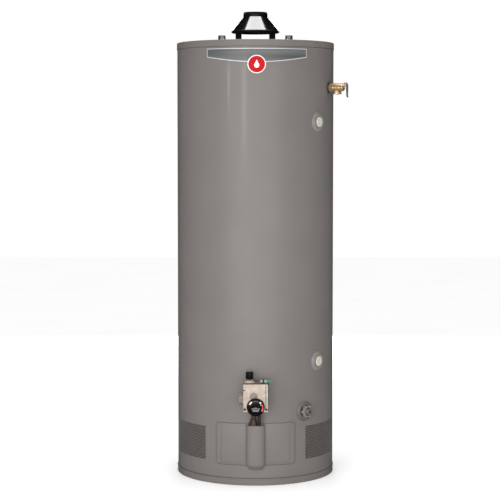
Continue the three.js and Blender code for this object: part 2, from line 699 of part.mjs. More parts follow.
// The lever hangs from its pivot, down in front of the bonnet and the stem's end
function reliefLever() {
  const shape = new THREE.Shape();
  const { up, out } = leverPivot;
  shape.moveTo(out - 5, up - 5);
  shape.lineTo(out - 4.4, up + 5);
  shape.lineTo(out + 6, up + 6);
  shape.lineTo(out + 14, up - 6);
  shape.lineTo(out + 14, -34);
  shape.lineTo(out + 18, -41);
  shape.lineTo(out + 15.6, -42);
  shape.lineTo(out + 11.6, -35);
  shape.lineTo(out + 11.6, up - 9);
  shape.lineTo(out + 3, up - 5);
  shape.closePath();
  const blade = new THREE.ExtrudeGeometry(shape, { depth: 12, bevelEnabled: false })
    .rotateY(-Math.PI / 2).translate(6, 0, 0);
  return cut(blade, rodAlongX(2, -20, 20, up, out, 12));
}

const reliefPin = () => rodAlongX(1.6, -10.5, 10.5, leverPivot.up, leverPivot.out, 12);
const reliefSpring = () => ring(9, 6, reliefSeat + 4.5, 383.5, 16);

add('relief_valve_body', reliefBody(), brass, relief);
add('relief_stem', reliefStem(), brass, relief);
add('relief_spring', reliefSpring(), stainlessSteel, relief);
add('relief_lever', reliefLever(), zincSteel, relief);
add('relief_lever_pin', reliefPin(), zincSteel, relief);
add('relief_probe', disc(4.5, 150, reliefSeat - 0.4, 12), copper, relief);

// Drain valve: the lobed handle turns around the hose end
const drain = station(drainPlace.azimuth, drainPlace.height);
const jacketFace = jacketRadius + 0.4;

// A dished ring that covers the hole in the jacket
function escutcheon(radius, bore, height) {
  const curve = 3;               // the jacket falls away under the ring's edge
  const blank = lathe([
    [bore, 320], [radius, 320], [radius, jacketFace + 0.6], [radius - 8, jacketFace + height],
    [bore + 4, jacketFace + height], [bore, jacketFace + height - curve],
  ], 24);
  const jacket = new THREE.CylinderGeometry(jacketFace, jacketFace, 200, shellSegments);
  return cut(blank, jacket);
}

function drainBody() {
  return lathe([
    [6, 296], [13.3, 296], [13.3, 350], [17, 350], [17, 354], [13.3, 358], [13.3, 374.5], [6, 374.5],
  ], 18);
}

function drainHandle() {
  const lobes = 6;
  const shape = new THREE.Shape();
  const steps = 48;
  for (let i = 0; i < steps; i++) {
    const a = (2 * Math.PI * i) / steps;
    const r = 24.5 + 2.5 * Math.cos(lobes * a);
    i ? shape.lineTo(r * Math.cos(a), r * Math.sin(a)) : shape.moveTo(r * Math.cos(a), r * Math.sin(a));
  }
  shape.closePath();
  const bore = new THREE.Path();
  bore.absarc(0, 0, 17.6, 0, 2 * Math.PI, true);
  shape.holes.push(bore);
  return new THREE.ExtrudeGeometry(shape, { depth: 14, bevelEnabled: false, curveSegments: 12 })
    .translate(0, 0, jacketFace + 11);
}

add('drain_escutcheon', escutcheon(39.5, 20, 8), greyPlastic, drain);
add('drain_valve_body', drainBody(), greyPlastic, drain);
add('drain_handle', drainHandle(), greyPlastic, drain);

// Side taps with their plugs
function tapPlug() {
  return lathe([
    [0, 302], [13, 302], [13, jacketFace + 7.4], [21, jacketFace + 7.4], [21, jacketFace + 10],
    [17, jacketFace + 12.5], [0, jacketFace + 12.5],
  ], 24);
}

for (const [name, height] of Object.entries(tapHeights)) {
  const tap = station(tapAzimuth, height);
  add(`${name}_tap_escutcheon`, escutcheon(40, 22, 7), greyPlastic, tap);
  add(`${name}_tap_plug`, tapPlug(), creamPlastic, tap);
}

// Badge strip under the top pan and the roundel below it, both wrapped on the jacket
function badgeStrip() {
  const at = (azimuth) => (jacketRadius + 1) * Math.sin(degrees(azimuth));
  const left = at(badge.from);
  const right = at(badge.to);
  const shape = new THREE.Shape();
  shape.moveTo(left, badge.top);
  shape.lineTo(left, badge.top - badge.endDrop);
  const steps = 10;
  for (let i = 1; i < steps; i++) {
    const t = i / steps;
    const drop = badge.endDrop + (badge.middleDrop - badge.endDrop) * Math.sin(Math.PI * t);
    shape.lineTo(left + (right - left) * t, badge.top - drop);
  }
  shape.lineTo(right, badge.top - badge.endDrop);
  shape.lineTo(right, badge.top);
  shape.closePath();
  return common(
    ring(jacketRadius + 1.4, jacketRadius + gap, 1700, 1808, shellSegments),
    extrudeAlongY(shape, -400, -150));
}

const roundelDisc = () => common(
  ring(jacketRadius + 3.6, jacketRadius + 1.8, 1600, 1820, shellSegments),
  rodAlongY(roundel.radius, -400, -250, roundel.x, roundel.z, 32));

add('badge_strip', badgeStrip(), badgeGrey);
add('badge_roundel', roundelDisc(), roundelRed);

export default heater;
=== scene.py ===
"""Looks of a gas-fired tank water heater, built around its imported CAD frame.

Shapes are drawn in millimetres, and each piece turns its own into metres. Materials, camera and
lights are in metres. +Z is up and the front faces -Y. An azimuth is measured from the front
towards +X. A flat pattern is drawn in (s, z, h): along the jacket, up, and out of its surface.
"""
import json
import math
from math import cos, pi, radians, sin, sqrt

import bmesh
import bpy
import numpy as np
from mathutils import Matrix, Vector
from mathutils.geometry import delaunay_2d_cdt


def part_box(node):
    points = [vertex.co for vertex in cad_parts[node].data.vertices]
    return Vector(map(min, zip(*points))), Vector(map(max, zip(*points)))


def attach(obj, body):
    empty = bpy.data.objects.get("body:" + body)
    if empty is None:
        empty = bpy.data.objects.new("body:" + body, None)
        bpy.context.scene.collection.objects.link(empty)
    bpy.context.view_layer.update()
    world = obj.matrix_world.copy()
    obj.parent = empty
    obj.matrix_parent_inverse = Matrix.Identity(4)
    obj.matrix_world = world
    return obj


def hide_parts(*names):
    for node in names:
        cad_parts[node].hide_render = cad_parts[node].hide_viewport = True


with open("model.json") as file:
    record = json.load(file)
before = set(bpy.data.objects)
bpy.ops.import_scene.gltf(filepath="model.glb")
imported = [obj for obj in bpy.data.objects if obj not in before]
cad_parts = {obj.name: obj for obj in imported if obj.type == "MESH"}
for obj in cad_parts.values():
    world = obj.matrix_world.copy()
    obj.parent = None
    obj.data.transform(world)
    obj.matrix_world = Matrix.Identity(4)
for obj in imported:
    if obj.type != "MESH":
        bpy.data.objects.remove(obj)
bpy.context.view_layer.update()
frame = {"nodes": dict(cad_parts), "record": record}

MM = 0.001
TAU = 2 * pi
SAME_SPOT = 1e-5


def box(name):
    """A CAD node's lowest and highest corner, in millimetres."""
    return [Vector(corner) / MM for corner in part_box(name)]


def middle(name):
    lo, hi = box(name)
    return (lo + hi) / 2


# Driving sizes, from the frame
RADIUS = box("outer_jacket")[1].x
PAN_RADIUS = box("base_pan")[1].x
TOP = box("jacket_top")[1].z
SHEET = 1.1


# ---------------------------------------------------------------- materials
def surface(dark, light, rough, grain, metallic=0.0, depth=0.2 * MM, stretch=(1, 1, 1),
            specular=0.5, coat=0.0):
    """A principled material whose colour, roughness and relief vary over the surface.

    The grain is the scale of its colour patches, the scale of its specks and their relief.
    """
    patches, specks, bump = grain
    made = bpy.data.materials.new("surface")
    made.use_nodes = True
    nodes, links = made.node_tree.nodes, made.node_tree.links
    shader = nodes["Principled BSDF"]
    for name, value in (("Metallic", metallic), ("Specular IOR Level", specular),
                        ("Coat Weight", coat), ("Coat Roughness", 0.12)):
        shader.inputs[name].default_value = value
    place = nodes.new("ShaderNodeTexCoord")
    spread = nodes.new("ShaderNodeMapping")
    spread.inputs["Scale"].default_value = stretch
    links.new(place.outputs["Object"], spread.inputs["Vector"])

    def noise(scale, detail):
        node = nodes.new("ShaderNodeTexNoise")
        node.inputs["Scale"].default_value = scale
        node.inputs["Detail"].default_value = detail
        links.new(spread.outputs["Vector"], node.inputs["Vector"])
        return node.outputs["Fac"]

    broad, fine = noise(patches, 4), noise(specks, 3)
    ramp = nodes.new("ShaderNodeValToRGB")
    for stop, spot, colour in zip(ramp.color_ramp.elements, (0.3, 0.7), (dark, light)):
        stop.position = spot
        stop.color = (*colour, 1)
    links.new(broad, ramp.inputs["Fac"])
    links.new(ramp.outputs["Color"], shader.inputs["Base Color"])
    spread_rough = nodes.new("ShaderNodeMapRange")
    spread_rough.inputs["To Min"].default_value = rough[0]
    spread_rough.inputs["To Max"].default_value = rough[1]
    links.new(fine, spread_rough.inputs["Value"])
    links.new(spread_rough.outputs["Result"], shader.inputs["Roughness"])
    relief = nodes.new("ShaderNodeBump")
    relief.inputs["Strength"].default_value = bump
    relief.inputs["Distance"].default_value = depth
    links.new(fine, relief.inputs["Height"])
    links.new(relief.outputs["Normal"], shader.inputs["Normal"])
    return made


LOOKS = {}


def look(make):
    """Keeps what a function makes under the function's own name."""
    made = make()
    made.name = make.__name__
    LOOKS[make.__name__] = made
    return make


@look
def taupe_paint():
    return surface((0.117, 0.1065, 0.0995), (0.1255, 0.1145, 0.107), (0.38, 0.48), (6, 650, 0.12),
                   specular=0.3, coat=0.07)


@look
def enamel_steel():
    return surface((0.035, 0.038, 0.045), (0.07, 0.072, 0.08), (0.5, 0.75), (25, 400, 0.3))


@look
def black_gloss():
    return surface((0.0035, 0.0035, 0.0045), (0.006, 0.006, 0.008), (0.08, 0.15), (12, 300, 0.02),
                   coat=0.4)


@look
def black_satin():
    return surface((0.003, 0.003, 0.0035), (0.006, 0.006, 0.007), (0.30, 0.45), (30, 900, 0.1),
                   specular=0.12)


@look
def black_plastic():
    return surface((0.002, 0.002, 0.002), (0.005, 0.005, 0.005), (0.28, 0.42), (60, 2200, 0.15),
                   specular=0.1)


@look
def teal_plastic():
    return surface((0.008, 0.13, 0.095), (0.014, 0.18, 0.13), (0.25, 0.38), (80, 2200, 0.1))


@look
def grey_plastic():
    return surface((0.072, 0.067, 0.064), (0.092, 0.086, 0.082), (0.40, 0.55), (45, 1800, 0.2))


@look
def cream_plastic():
    return surface((0.35, 0.34, 0.275), (0.40, 0.39, 0.32), (0.30, 0.42), (50, 1600, 0.08))


@look
def cast_aluminium():
    return surface((0.285, 0.232, 0.19), (0.40, 0.33, 0.275), (0.38, 0.56), (70, 1500, 0.4),
                   metallic=0.25)


# A lighter copy of the cast aluminium: a painted highlight for the cover's ridge.
@look
def cast_painted_highlight():
    return surface((0.36, 0.32, 0.28), (0.55, 0.50, 0.44), (0.22, 0.36), (70, 1500, 0.3),
                   metallic=0.35)


@look
def plain_aluminium():
    return surface((0.10, 0.10, 0.10), (0.15, 0.15, 0.15), (0.32, 0.46), (60, 900, 0.15),
                   metallic=0.5)


@look
def zinc_steel():
    return surface((0.12, 0.12, 0.13), (0.24, 0.24, 0.26), (0.18, 0.32), (110, 1400, 0.15),
                   metallic=0.8)


@look
def stainless_steel():
    return surface((0.42, 0.41, 0.40), (0.55, 0.54, 0.52), (0.25, 0.40), (40, 500, 0.1),
                   metallic=1.0, stretch=(1, 1, 0.05))


@look
def brass():
    return surface((0.33, 0.215, 0.11), (0.55, 0.39, 0.225), (0.26, 0.42), (120, 1300, 0.25),
                   metallic=0.7)


@look
def copper():
    return surface((0.045, 0.030, 0.022), (0.082, 0.056, 0.042), (0.32, 0.50), (90, 1200, 0.2),
                   metallic=0.5)


@look
def foam():
    return surface((0.55, 0.42, 0.18), (0.72, 0.58, 0.30), (0.85, 1.0), (60, 350, 0.8),
                   depth=1 * MM)


@look
def glass_fibre():
    return surface((0.55, 0.52, 0.44), (0.75, 0.72, 0.64), (0.9, 1.0), (90, 600, 0.8), depth=1 * MM)


@look
def ceramic_tile():
    return surface((0.52, 0.43, 0.32), (0.64, 0.54, 0.42), (0.8, 0.95), (40, 700, 0.4))


@look
def clear_glass():
    made = surface((0.60, 0.68, 0.66), (0.66, 0.74, 0.72), (0.03, 0.08), (20, 300, 0.02))
    made.node_tree.nodes["Principled BSDF"].inputs["Transmission Weight"].default_value = 0.8
    return made


@look
def badge_grey():
    """Brushed plate with painted shade that darkens it from one end to the other."""
    return surface((0.045, 0.046, 0.047), (0.105, 0.106, 0.108), (0.35, 0.5), (3, 500, 0.08),
                   stretch=(0.6, 0.6, 12))


@look
def badge_silver():
    return surface((0.36, 0.36, 0.37), (0.44, 0.44, 0.45), (0.30, 0.42), (40, 900, 0.05),
                   metallic=0.1)


@look
def roundel_red():
    return surface((0.33, 0.0045, 0.0075), (0.38, 0.007, 0.011), (0.45, 0.60), (25, 1500, 0.04),
                   specular=0.08)


@look
def badge_white():
    return surface((0.50, 0.50, 0.50), (0.58, 0.58, 0.57), (0.18, 0.30), (30, 1500, 0.04))


@look
def trap_plastic():
    return surface((0.45, 0.44, 0.40), (0.52, 0.51, 0.47), (0.35, 0.5), (40, 1500, 0.1))


@look
def black_sleeve():
    return surface((0.006, 0.006, 0.006), (0.016, 0.015, 0.014), (0.55, 0.8), (200, 1800, 0.6),
                   stretch=(1, 1, 0.5))


@look
def dial_hub():
    return surface((0.085, 0.08, 0.095), (0.13, 0.125, 0.145), (0.3, 0.45), (60, 1500, 0.1))


@look
def dial_cream():
    return surface((0.40, 0.38, 0.32), (0.50, 0.47, 0.40), (0.35, 0.5), (90, 2000, 0.05))


@look
def dial_red():
    return surface((0.40, 0.035, 0.03), (0.48, 0.06, 0.05), (0.3, 0.45), (90, 2000, 0.05))


@look
def dial_maroon():
    return surface((0.09, 0.012, 0.012), (0.13, 0.02, 0.018), (0.3, 0.45), (90, 2000, 0.05))


@look
def lever_steel():
    return surface((0.070, 0.074, 0.066), (0.11, 0.115, 0.103), (0.30, 0.45), (120, 1400, 0.1),
                   metallic=0.3, specular=0.3)


@look
def cast_shade():
    return surface((0.15, 0.13, 0.108), (0.21, 0.185, 0.155), (0.32, 0.46), (70, 1500, 0.3),
                   metallic=0.25)


# Black sheet behind the air screens: painted shade seen through their holes.
@look
def painted_shade_liner():
    return surface((0.004, 0.004, 0.004), (0.009, 0.008, 0.008), (0.7, 0.9), (40, 900, 0.2),
                   specular=0.1)


# Dark brown painted as shade: the dark lines at the lid's and pan's joints, round the door and beside the
# control's ridge, and the dark rings round the relief valve's hole and under the door screws.
@look
def painted_shade_brown():
    return surface((0.040, 0.032, 0.026), (0.062, 0.050, 0.041), (0.5, 0.7), (60, 1200, 0.2))


@look
def screw_grey():
    return surface((0.20, 0.19, 0.18), (0.27, 0.26, 0.25), (0.30, 0.45), (90, 1500, 0.1),
                   metallic=0.4)


@look
def tap_grey():
    return surface((0.135, 0.127, 0.121), (0.160, 0.151, 0.144), (0.36, 0.50), (45, 1800, 0.15))


@look
def igniter_grey():
    return surface((0.16, 0.19, 0.175), (0.22, 0.25, 0.23), (0.30, 0.45), (60, 1800, 0.1))


# Near-black: the igniter strap's own dark colour, and painted shade in screw recesses, the inlet and drain
# bores, the cover's notches and the shadow line round the control's gasket.
@look
def dark_and_painted_shade():
    return surface((0.02, 0.018, 0.016), (0.035, 0.03, 0.028), (0.6, 0.8), (60, 900, 0.2))


@look
def floor_paper():
    return surface((0.95, 0.95, 0.95), (0.97, 0.97, 0.97), (0.9, 1.0), (1.5, 60, 0.0), specular=0.0)


for row in frame["record"]["subparts"]:
    data = frame["nodes"][row["node"]].data
    data.materials.clear()
    data.materials.append(LOOKS[row["material_slot"]])


# ---------------------------------------------------------------- mesh building
def piece(name, shape, look="taupe_paint", body="root", cad=None, bevel=0.0, sharp=32, radial=False):
    """One object from a shape in millimetres, riding on a body and standing for a CAD node."""
    vertices, faces = shape
    stands_for = [cad] if cad else []
    mesh = bpy.data.meshes.new(name)
    mesh.from_pydata([tuple(MM * c for c in v) for v in vertices], [], faces)
    work = bmesh.new()
    work.from_mesh(mesh)
    bmesh.ops.remove_doubles(work, verts=work.verts, dist=2e-6)
    bmesh.ops.dissolve_degenerate(work, edges=work.edges, dist=1e-7)
    bmesh.ops.recalc_face_normals(work, faces=work.faces)
    work.to_mesh(mesh)
    work.free()
    mesh.materials.append(LOOKS[look])
    made = bpy.data.objects.new(name, mesh)
    bpy.context.scene.collection.objects.link(made)
    mesh.polygons.foreach_set("use_smooth", [True] * len(mesh.polygons))
    if radial:
        shade_radially(mesh)
    else:
        mesh.set_sharp_from_angle(angle=radians(sharp))
    if bevel:
        edge = made.modifiers.new("edges", "BEVEL")
        edge.width = bevel * MM
        edge.segments = 3
        edge.limit_method = "ANGLE"
        edge.angle_limit = radians(35)
        edge.harden_normals = True
    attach(made, body)
    if stands_for:
        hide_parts(*stands_for)
    return made


def shade_radially(mesh):
    """Gives the faces that follow the jacket its true round normals."""
    normals = np.zeros((len(mesh.loops), 3))
    for face in mesh.polygons:
        out = Vector((face.center.x, face.center.y, 0)).normalized()
        facing = face.normal.dot(out)
        sign = 1 if facing > 0 else -1
        for loop in face.loop_indices:
            spot = mesh.vertices[mesh.loops[loop].vertex_index].co
            bent = Vector((spot.x, spot.y, 0)).normalized() * sign
            normals[loop] = bent if abs(facing) > 0.95 else face.normal
    mesh.normals_split_custom_set([tuple(n) for n in normals])


def join(*shapes):
    vertices, faces = [], []
    for some, more in shapes:
        base = len(vertices)
        vertices.extend(tuple(v) for v in some)
        faces.extend(tuple(i + base for i in face) for face in more)
    return vertices, faces


def moved(shape, matrix):
    return [matrix @ Vector(v) for v in shape[0]], shape[1]


def shifted(shape, x=0.0, y=0.0, z=0.0):
    return moved(shape, Matrix.Translation((x, y, z)))


def placing(x, y, z, angle, axis):
    """A turn by so many degrees about an axis, then a move."""
    return Matrix.Translation((x, y, z)) @ Matrix.Rotation(radians(angle), 4, axis)


def station(azimuth, height, out=0.0):
    """Local +Z points out of the tank, +Y up and +X to the viewer's right."""
    a = radians(azimuth)
    right, away = Vector((cos(a), sin(a), 0)), Vector((sin(a), -cos(a), 0))
    rows = Matrix((right, Vector((0, 0, 1)), away)).transposed().to_4x4()
    return Matrix.Translation(away * out + Vector((0, 0, height))) @ rows


def fillet(points, closed=False, steps=4):
    """Rounds each corner that carries a third number, its radius."""
    made = []
    count = len(points)
    for i, point in enumerate(points):
        radius = point[2] if len(point) > 2 else 0
        if not radius or (not closed and i in (0, count - 1)):
            made.append(tuple(point[:2]))
            continue
        here = Vector(point[:2])
        back, ahead = Vector(points[i - 1][:2]) - here, Vector(points[(i + 1) % count][:2]) - here
        half = back.angle(ahead) / 2
        reach = min(radius / math.tan(half), 0.49 * back.length, 0.49 * ahead.length)
        start, end = here + back.normalized() * reach, here + ahead.normalized() * reach
        weight = sin(half)
        for k in range(steps + 1):
            t = k / steps
            a, b, c = (1 - t) ** 2, 2 * t * (1 - t) * weight, t * t
            made.append(tuple((start * a + here * b + end * c) / (a + b + c)))
    return made


def loft(rings, capped=True):
    """Skins closed rings of equal length, one after another."""
    count = len(rings[0])
    vertices = [v for ring in rings for v in ring]
    faces = []
    for k in range(len(rings) - 1):
        for i in range(count):
            j = (i + 1) % count
            faces.append((k * count + i, k * count + j, (k + 1) * count + j, (k + 1) * count + i))
    if capped:
        last = (len(rings) - 1) * count
        faces += [tuple(reversed(range(count))), tuple(range(last, last + count))]
    return vertices, faces


def angles(count):
    return [TAU * k / count for k in range(count)]


def circle(radius, x=0.0, y=0.0, count=40):
    return [(x + radius * cos(a), y + radius * sin(a)) for a in angles(count)]


def hexagon(across, count=36):
    """A hexagon sampled at equal angles, so that it pairs with a circle."""
    reach = [(a, across / 2 / cos(a % (TAU / 6) - TAU / 12)) for a in angles(count)]
    return [(r * cos(a), r * sin(a)) for a, r in reach]


def rounded_box(x0, x1, y0, y1, radius, steps=4):
    corners = [(x0, y0, radius), (x1, y0, radius), (x1, y1, radius), (x0, y1, radius)]
    return fillet(corners, closed=True, steps=steps)


def level(outline, z):
    """An outline in X and Y, lifted to a height."""
    return [(x, y, z) for x, y in outline]


def spin(profile, count=64, closed=False):
    """A body of revolution about Z from (radius, height) points."""
    outline = fillet(profile, closed)
    if closed:
        outline = outline + outline[:1]
    return loft([level(circle(r, count=count), z) for r, z in outline], capped=False)


def prism(outline, low, high):
    """An outline in X and Y, extruded along Z."""
    return loft([level(outline, z) for z in (low, high)])


def ring_prism(outer, inner, low, high):
    """A tube between two outlines of equal length."""
    rows = [level(outer, low), level(outer, high), level(inner, high), level(inner, low)]
    return loft([*rows, rows[0]], capped=False)


def fluted(rows, count, cut):
    """Rings from (radius, height, share) rows; share says how much of cut(angle) a ring loses."""
    return [[((r - share * cut(a)) * cos(a), (r - share * cut(a)) * sin(a), z) for a in angles(count)]
            for r, z, share in rows]


def to_front(shape):
    """Turns a shape drawn in X and Y, thick along Z, to face -Y with Y up."""
    return moved(shape, Matrix(((1, 0, 0, 0), (0, 0, -1, 0), (0, 1, 0, 0), (0, 0, 0, 1))))


def inside(points, loop):
    """Which points lie inside a closed loop, by the even-odd rule."""
    x, y = points[:, 0], points[:, 1]
    found = np.zeros(len(points), bool)
    for (x0, y0), (x1, y1) in zip(loop, loop[1:] + loop[:1]):
        if y0 == y1:
            continue
        crosses = (y0 > y) != (y1 > y)
        found ^= crosses & (x < (x1 - x0) * (y - y0) / (y1 - y0) + x0)
    return found


def sheet(outer, holes=(), thickness=SHEET, height=0.0, step=None, marks=()):
    """A closed sheet in (s, z, h) with holes, split at each step along s so that it can bend.

    The height of its face is a number, or a function of s and z.
    """
    loops = [list(outer), *[list(h) for h in holes], *[list(m) for m in marks]]
    points, edges = [], []
    for loop in loops:
        base = len(points)
        points.extend(Vector(p) for p in loop)
        edges.extend((base + i, base + (i + 1) % len(loop)) for i in range(len(loop)))
    if step:
        along_s, up = [p[0] for p in outer], [p[1] for p in outer]
        for k in range(math.ceil(min(along_s) / step), math.floor(max(along_s) / step) + 1):
            base = len(points)
            points.extend((Vector((k * step, min(up))), Vector((k * step, max(up)))))
            edges.append((base, base + 1))
    made = delaunay_2d_cdt(points, edges, [], 0, SAME_SPOT)
    flat = np.array([tuple(v) for v in made[0]])
    triangles = np.array([tuple(f) for f in made[2]])
    centres = flat[triangles].mean(axis=1)
    keep = inside(centres, loops[0])
    for hole in loops[1:1 + len(holes)]:
        keep &= ~inside(centres, hole)
    triangles = triangles[keep]
    rise = [height(s, z) if callable(height) else height for s, z in flat]
    count = len(flat)
    vertices = [(s, z, h) for (s, z), h in zip(flat, rise)]
    vertices += [(s, z, h - thickness) for (s, z), h in zip(flat, rise)]
    faces = [tuple(int(i) for i in t) for t in triangles]
    sides = dict.fromkeys(edge for a, b, c in faces for edge in ((a, b), (b, c), (c, a)))
    walls = [(b, a, a + count, b + count) for a, b in sides if (b, a) not in sides]
    faces += [(c + count, b + count, a + count) for a, b, c in faces] + walls
    used = sorted({i for face in faces for i in face})
    renumber = {old: new for new, old in enumerate(used)}
    return [vertices[i] for i in used], [tuple(renumber[i] for i in face) for face in faces]


def wrapped(shape, radius=RADIUS):
    """Bends a flat (s, z, h) shape round the jacket. s is measured on the jacket's own surface."""
    bent = [((radius + h) * sin(s / RADIUS), -(radius + h) * cos(s / RADIUS), z)
            for s, z, h in shape[0]]
    return bent, shape[1]


def along(azimuth):
    return radians(azimuth) * RADIUS


def round_to(x):
    """How far along the jacket the point lies that is x to the right of the middle."""
    return RADIUS * math.asin(x / RADIUS)


COLUMN = along(2.5)


# ---------------------------------------------------------------- jacket, pans and air screens
def hex_field(first, columns, low, rows, pitch, hole):
    """Hexagonal cells with round holes, and the zigzag outline of them all."""
    side = pitch / sqrt(3)
    vertices, faces, index, border = [], [], {}, {}

    def vertex(x, y):
        key = (round(x * 1e4), round(y * 1e4))
        if key not in index:
            index[key] = len(vertices)
            vertices.append((x, y, 0.0))
        return index[key]

    for row in range(rows):
        for column in range(columns):
            x = first + pitch * (column + 0.5 + 0.5 * (row % 2))
            y = low + side * (1 + 1.5 * row)
            rim, ring = [], []
            for k in range(12):
                a = radians(30 * k)
                r = side if k % 2 else pitch / 2
                rim.append(vertex(x + r * cos(a), y + r * sin(a)))
                ring.append(vertex(x + hole * cos(a), y + hole * sin(a)))
            for k in range(12):
                j = (k + 1) % 12
                faces.append((rim[k], rim[j], ring[j], ring[k]))
                border[(rim[k], rim[j])] = True
    outline = {a: b for a, b in border if (b, a) not in border}
    loop = [next(iter(outline))]
    while outline[loop[-1]] != loop[0]:
        loop.append(outline[loop[-1]])
    edge = [vertices[i][:2] for i in loop]
    count = len(vertices)
    sides = {(a, b) for f in faces for a, b in zip(f, f[1:] + f[:1])}
    walls = [(b, a, a + count, b + count) for a, b in sides if (b, a) not in sides]
    back = [tuple(i + count for i in reversed(f)) for f in faces]
    thick = vertices + [(x, y, -SHEET) for x, y, _ in vertices]
    return (thick, faces + back + walls), edge


SCREEN_FROM, SCREEN_TO = 38.3, 141.7
SCREEN_LOW, SCREEN_HIGH = 95, 245
HOLE_PITCH, HOLE_ROWS, HOLE_RADIUS = 8.1, 20, 3.35
SHADE_LINER_GAP = 2.4


def air_screens():
    """The perforated bands on both sides; returns their outlines for the jacket's windows."""
    columns = int((along(SCREEN_TO) - along(SCREEN_FROM)) / HOLE_PITCH) - 1
    outlines = []
    width = (columns + 0.5) * HOLE_PITCH
    for side, start in (("right", along(SCREEN_FROM)), ("left", -along(SCREEN_FROM) - width)):
        field, outline = hex_field(start, columns, SCREEN_LOW, HOLE_ROWS, HOLE_PITCH, HOLE_RADIUS)
        piece(f"perforated_screen_{side}", wrapped(field), cad=f"air_screen_{side}",
              radial=True)
        # A black sheet behind each screen stands for the shade inside its holes.
        backing = rounded_box(start - 4, start + width + 4, SCREEN_LOW - 5, SCREEN_HIGH, 3)
        liner = sheet(backing, thickness=0.5, height=-SHADE_LINER_GAP, step=COLUMN)
        piece(f"screen_shade_liner_{side}", wrapped(liner), "painted_shade_liner", radial=True)
        outlines.append(outline)
    return outlines


# Azimuth and height of what sits in the jacket's holes
RELIEF = (67, 1645)
DRAIN = (37.5, 300)
TAP_AZIMUTH = 51.2
TAPS = {"lower": 502, "upper": 1501}
CONTROL_HEIGHT = middle("gas_control_cover").z
DOOR_SCREW, DOOR_SCREW_HEIGHT = round_to(153), 98


def jacket(windows):
    low, high = (corner.z for corner in box("outer_jacket"))
    half = pi * RADIUS
    outer = [(-half, low), (half, low), (half, high), (-half, high)]
    fittings = [(0, CONTROL_HEIGHT, 24), (*DRAIN, 21), (*RELIEF, 21)]
    fittings += [(TAP_AZIMUTH, height, 24) for height in TAPS.values()]
    holes = [circle(r, along(a), z) for a, z, r in fittings]
    opening = round_to(138)
    holes.append(rounded_box(-opening, opening, 104, 240, 12))
    holes += [circle(6, s * DOOR_SCREW, DOOR_SCREW_HEIGHT, 16) for s in (-1, 1)]
    skin = wrapped(sheet(outer, [*windows, *holes], step=COLUMN))
    piece("jacket_skin", skin, cad="outer_jacket", radial=True)


def back_seam():
    """The lap seam down the back of the jacket, with its rivets."""
    behind = pi * RADIUS
    low, high = box("base_pan")[1].z + 4, box("jacket_top")[0].z - 4
    strip = sheet(rounded_box(behind - 9, behind + 9, low, high, 1), thickness=1.0, height=1.1)
    rivet = spin([(0, 1.9), (2.2, 1.5), (3.2, 0)], 16)
    count = 12
    rivets = [moved(rivet, station(180, low + (high - low) * (k + 0.5) / count, RADIUS + 1.1))
              for k in range(count)]
    piece("jacket_back_seam", join(wrapped(strip), *rivets))


def seam(low, high):
    """A thin dark ring round the jacket: painted shade along a joint."""
    inner, outer = RADIUS + 0.1, RADIUS + 1.0
    return spin([(inner, low), (outer, low, 0.3), (outer, high, 0.3), (inner, high)], 192, closed=True)


def outer_wall(vertices, face, radius):
    """Whether a face stands on the sheet's outer edge, where it meets the rim of the pan."""
    spots = [vertices[i] for i in face]
    return len(face) == 4 and all(math.hypot(x, y) > radius - 0.1 for x, y, _ in spots)


def top_pan():
    """Flat top with its holes, a rolled shoulder and a skirt over the jacket."""
    skirt = box("jacket_top")[0].z
    flat, count = 300, 192
    inner, outer = PAN_RADIUS - SHEET, PAN_RADIUS + 0.5
    pan = spin([
        (flat, TOP - SHEET), (inner, TOP - SHEET, 2), (inner, skirt + 1), (inner, skirt, 0.2),
        (outer, skirt + 0.3, 0.8), (outer, skirt + 4, 0.8), (PAN_RADIUS, skirt + 6, 1),
        (PAN_RADIUS, TOP, 3), (flat, TOP)], count)
    spacing = middle("hot_nipple").x
    holes = [circle(55.8, 0, 0, 64), circle(19.2, spacing), circle(19.2, -spacing),
             circle(21, 0, middle("anode_rod").y)]
    vertices, faces = sheet(circle(flat, 0, 0, count), holes, height=TOP)
    lid = vertices, [f for f in faces if not outer_wall(vertices, f, flat)]
    piece("top_pan", join(pan, lid), cad="jacket_top")
    piece("top_shade_ring", seam(skirt - 1.8, skirt + 0.2), "painted_shade_brown")


def base():
    high = box("base_pan")[1].z
    inner, outer = PAN_RADIUS - SHEET, PAN_RADIUS + 1.6
    piece("base_ring", spin([
        (0, 0), (PAN_RADIUS, 0, 2.5), (PAN_RADIUS, high - 6, 1), (outer, high - 4.5, 1),
        (outer, high - 0.8, 0.8), (inner, high, 0.3), (inner, 2.2), (0, 2.2)], 192),
        cad="base_pan")
    piece("base_shade_ring", seam(high - 0.2, high + 2), "painted_shade_brown")


# ---------------------------------------------------------------- access door
DOOR_OUT = RADIUS + 1.6


def door_distance(s, z, half, low, high, corner):
    """Signed distance to a rounded rectangle, negative inside."""
    x, y = abs(s) - (half - corner), abs(z - (low + high) / 2) - ((high - low) / 2 - corner)
    return math.hypot(max(x, 0), max(y, 0)) + min(max(x, y), 0) - corner


def smooth_step(t):
    t = min(max(t, 0), 1)
    return t * t * (3 - 2 * t)


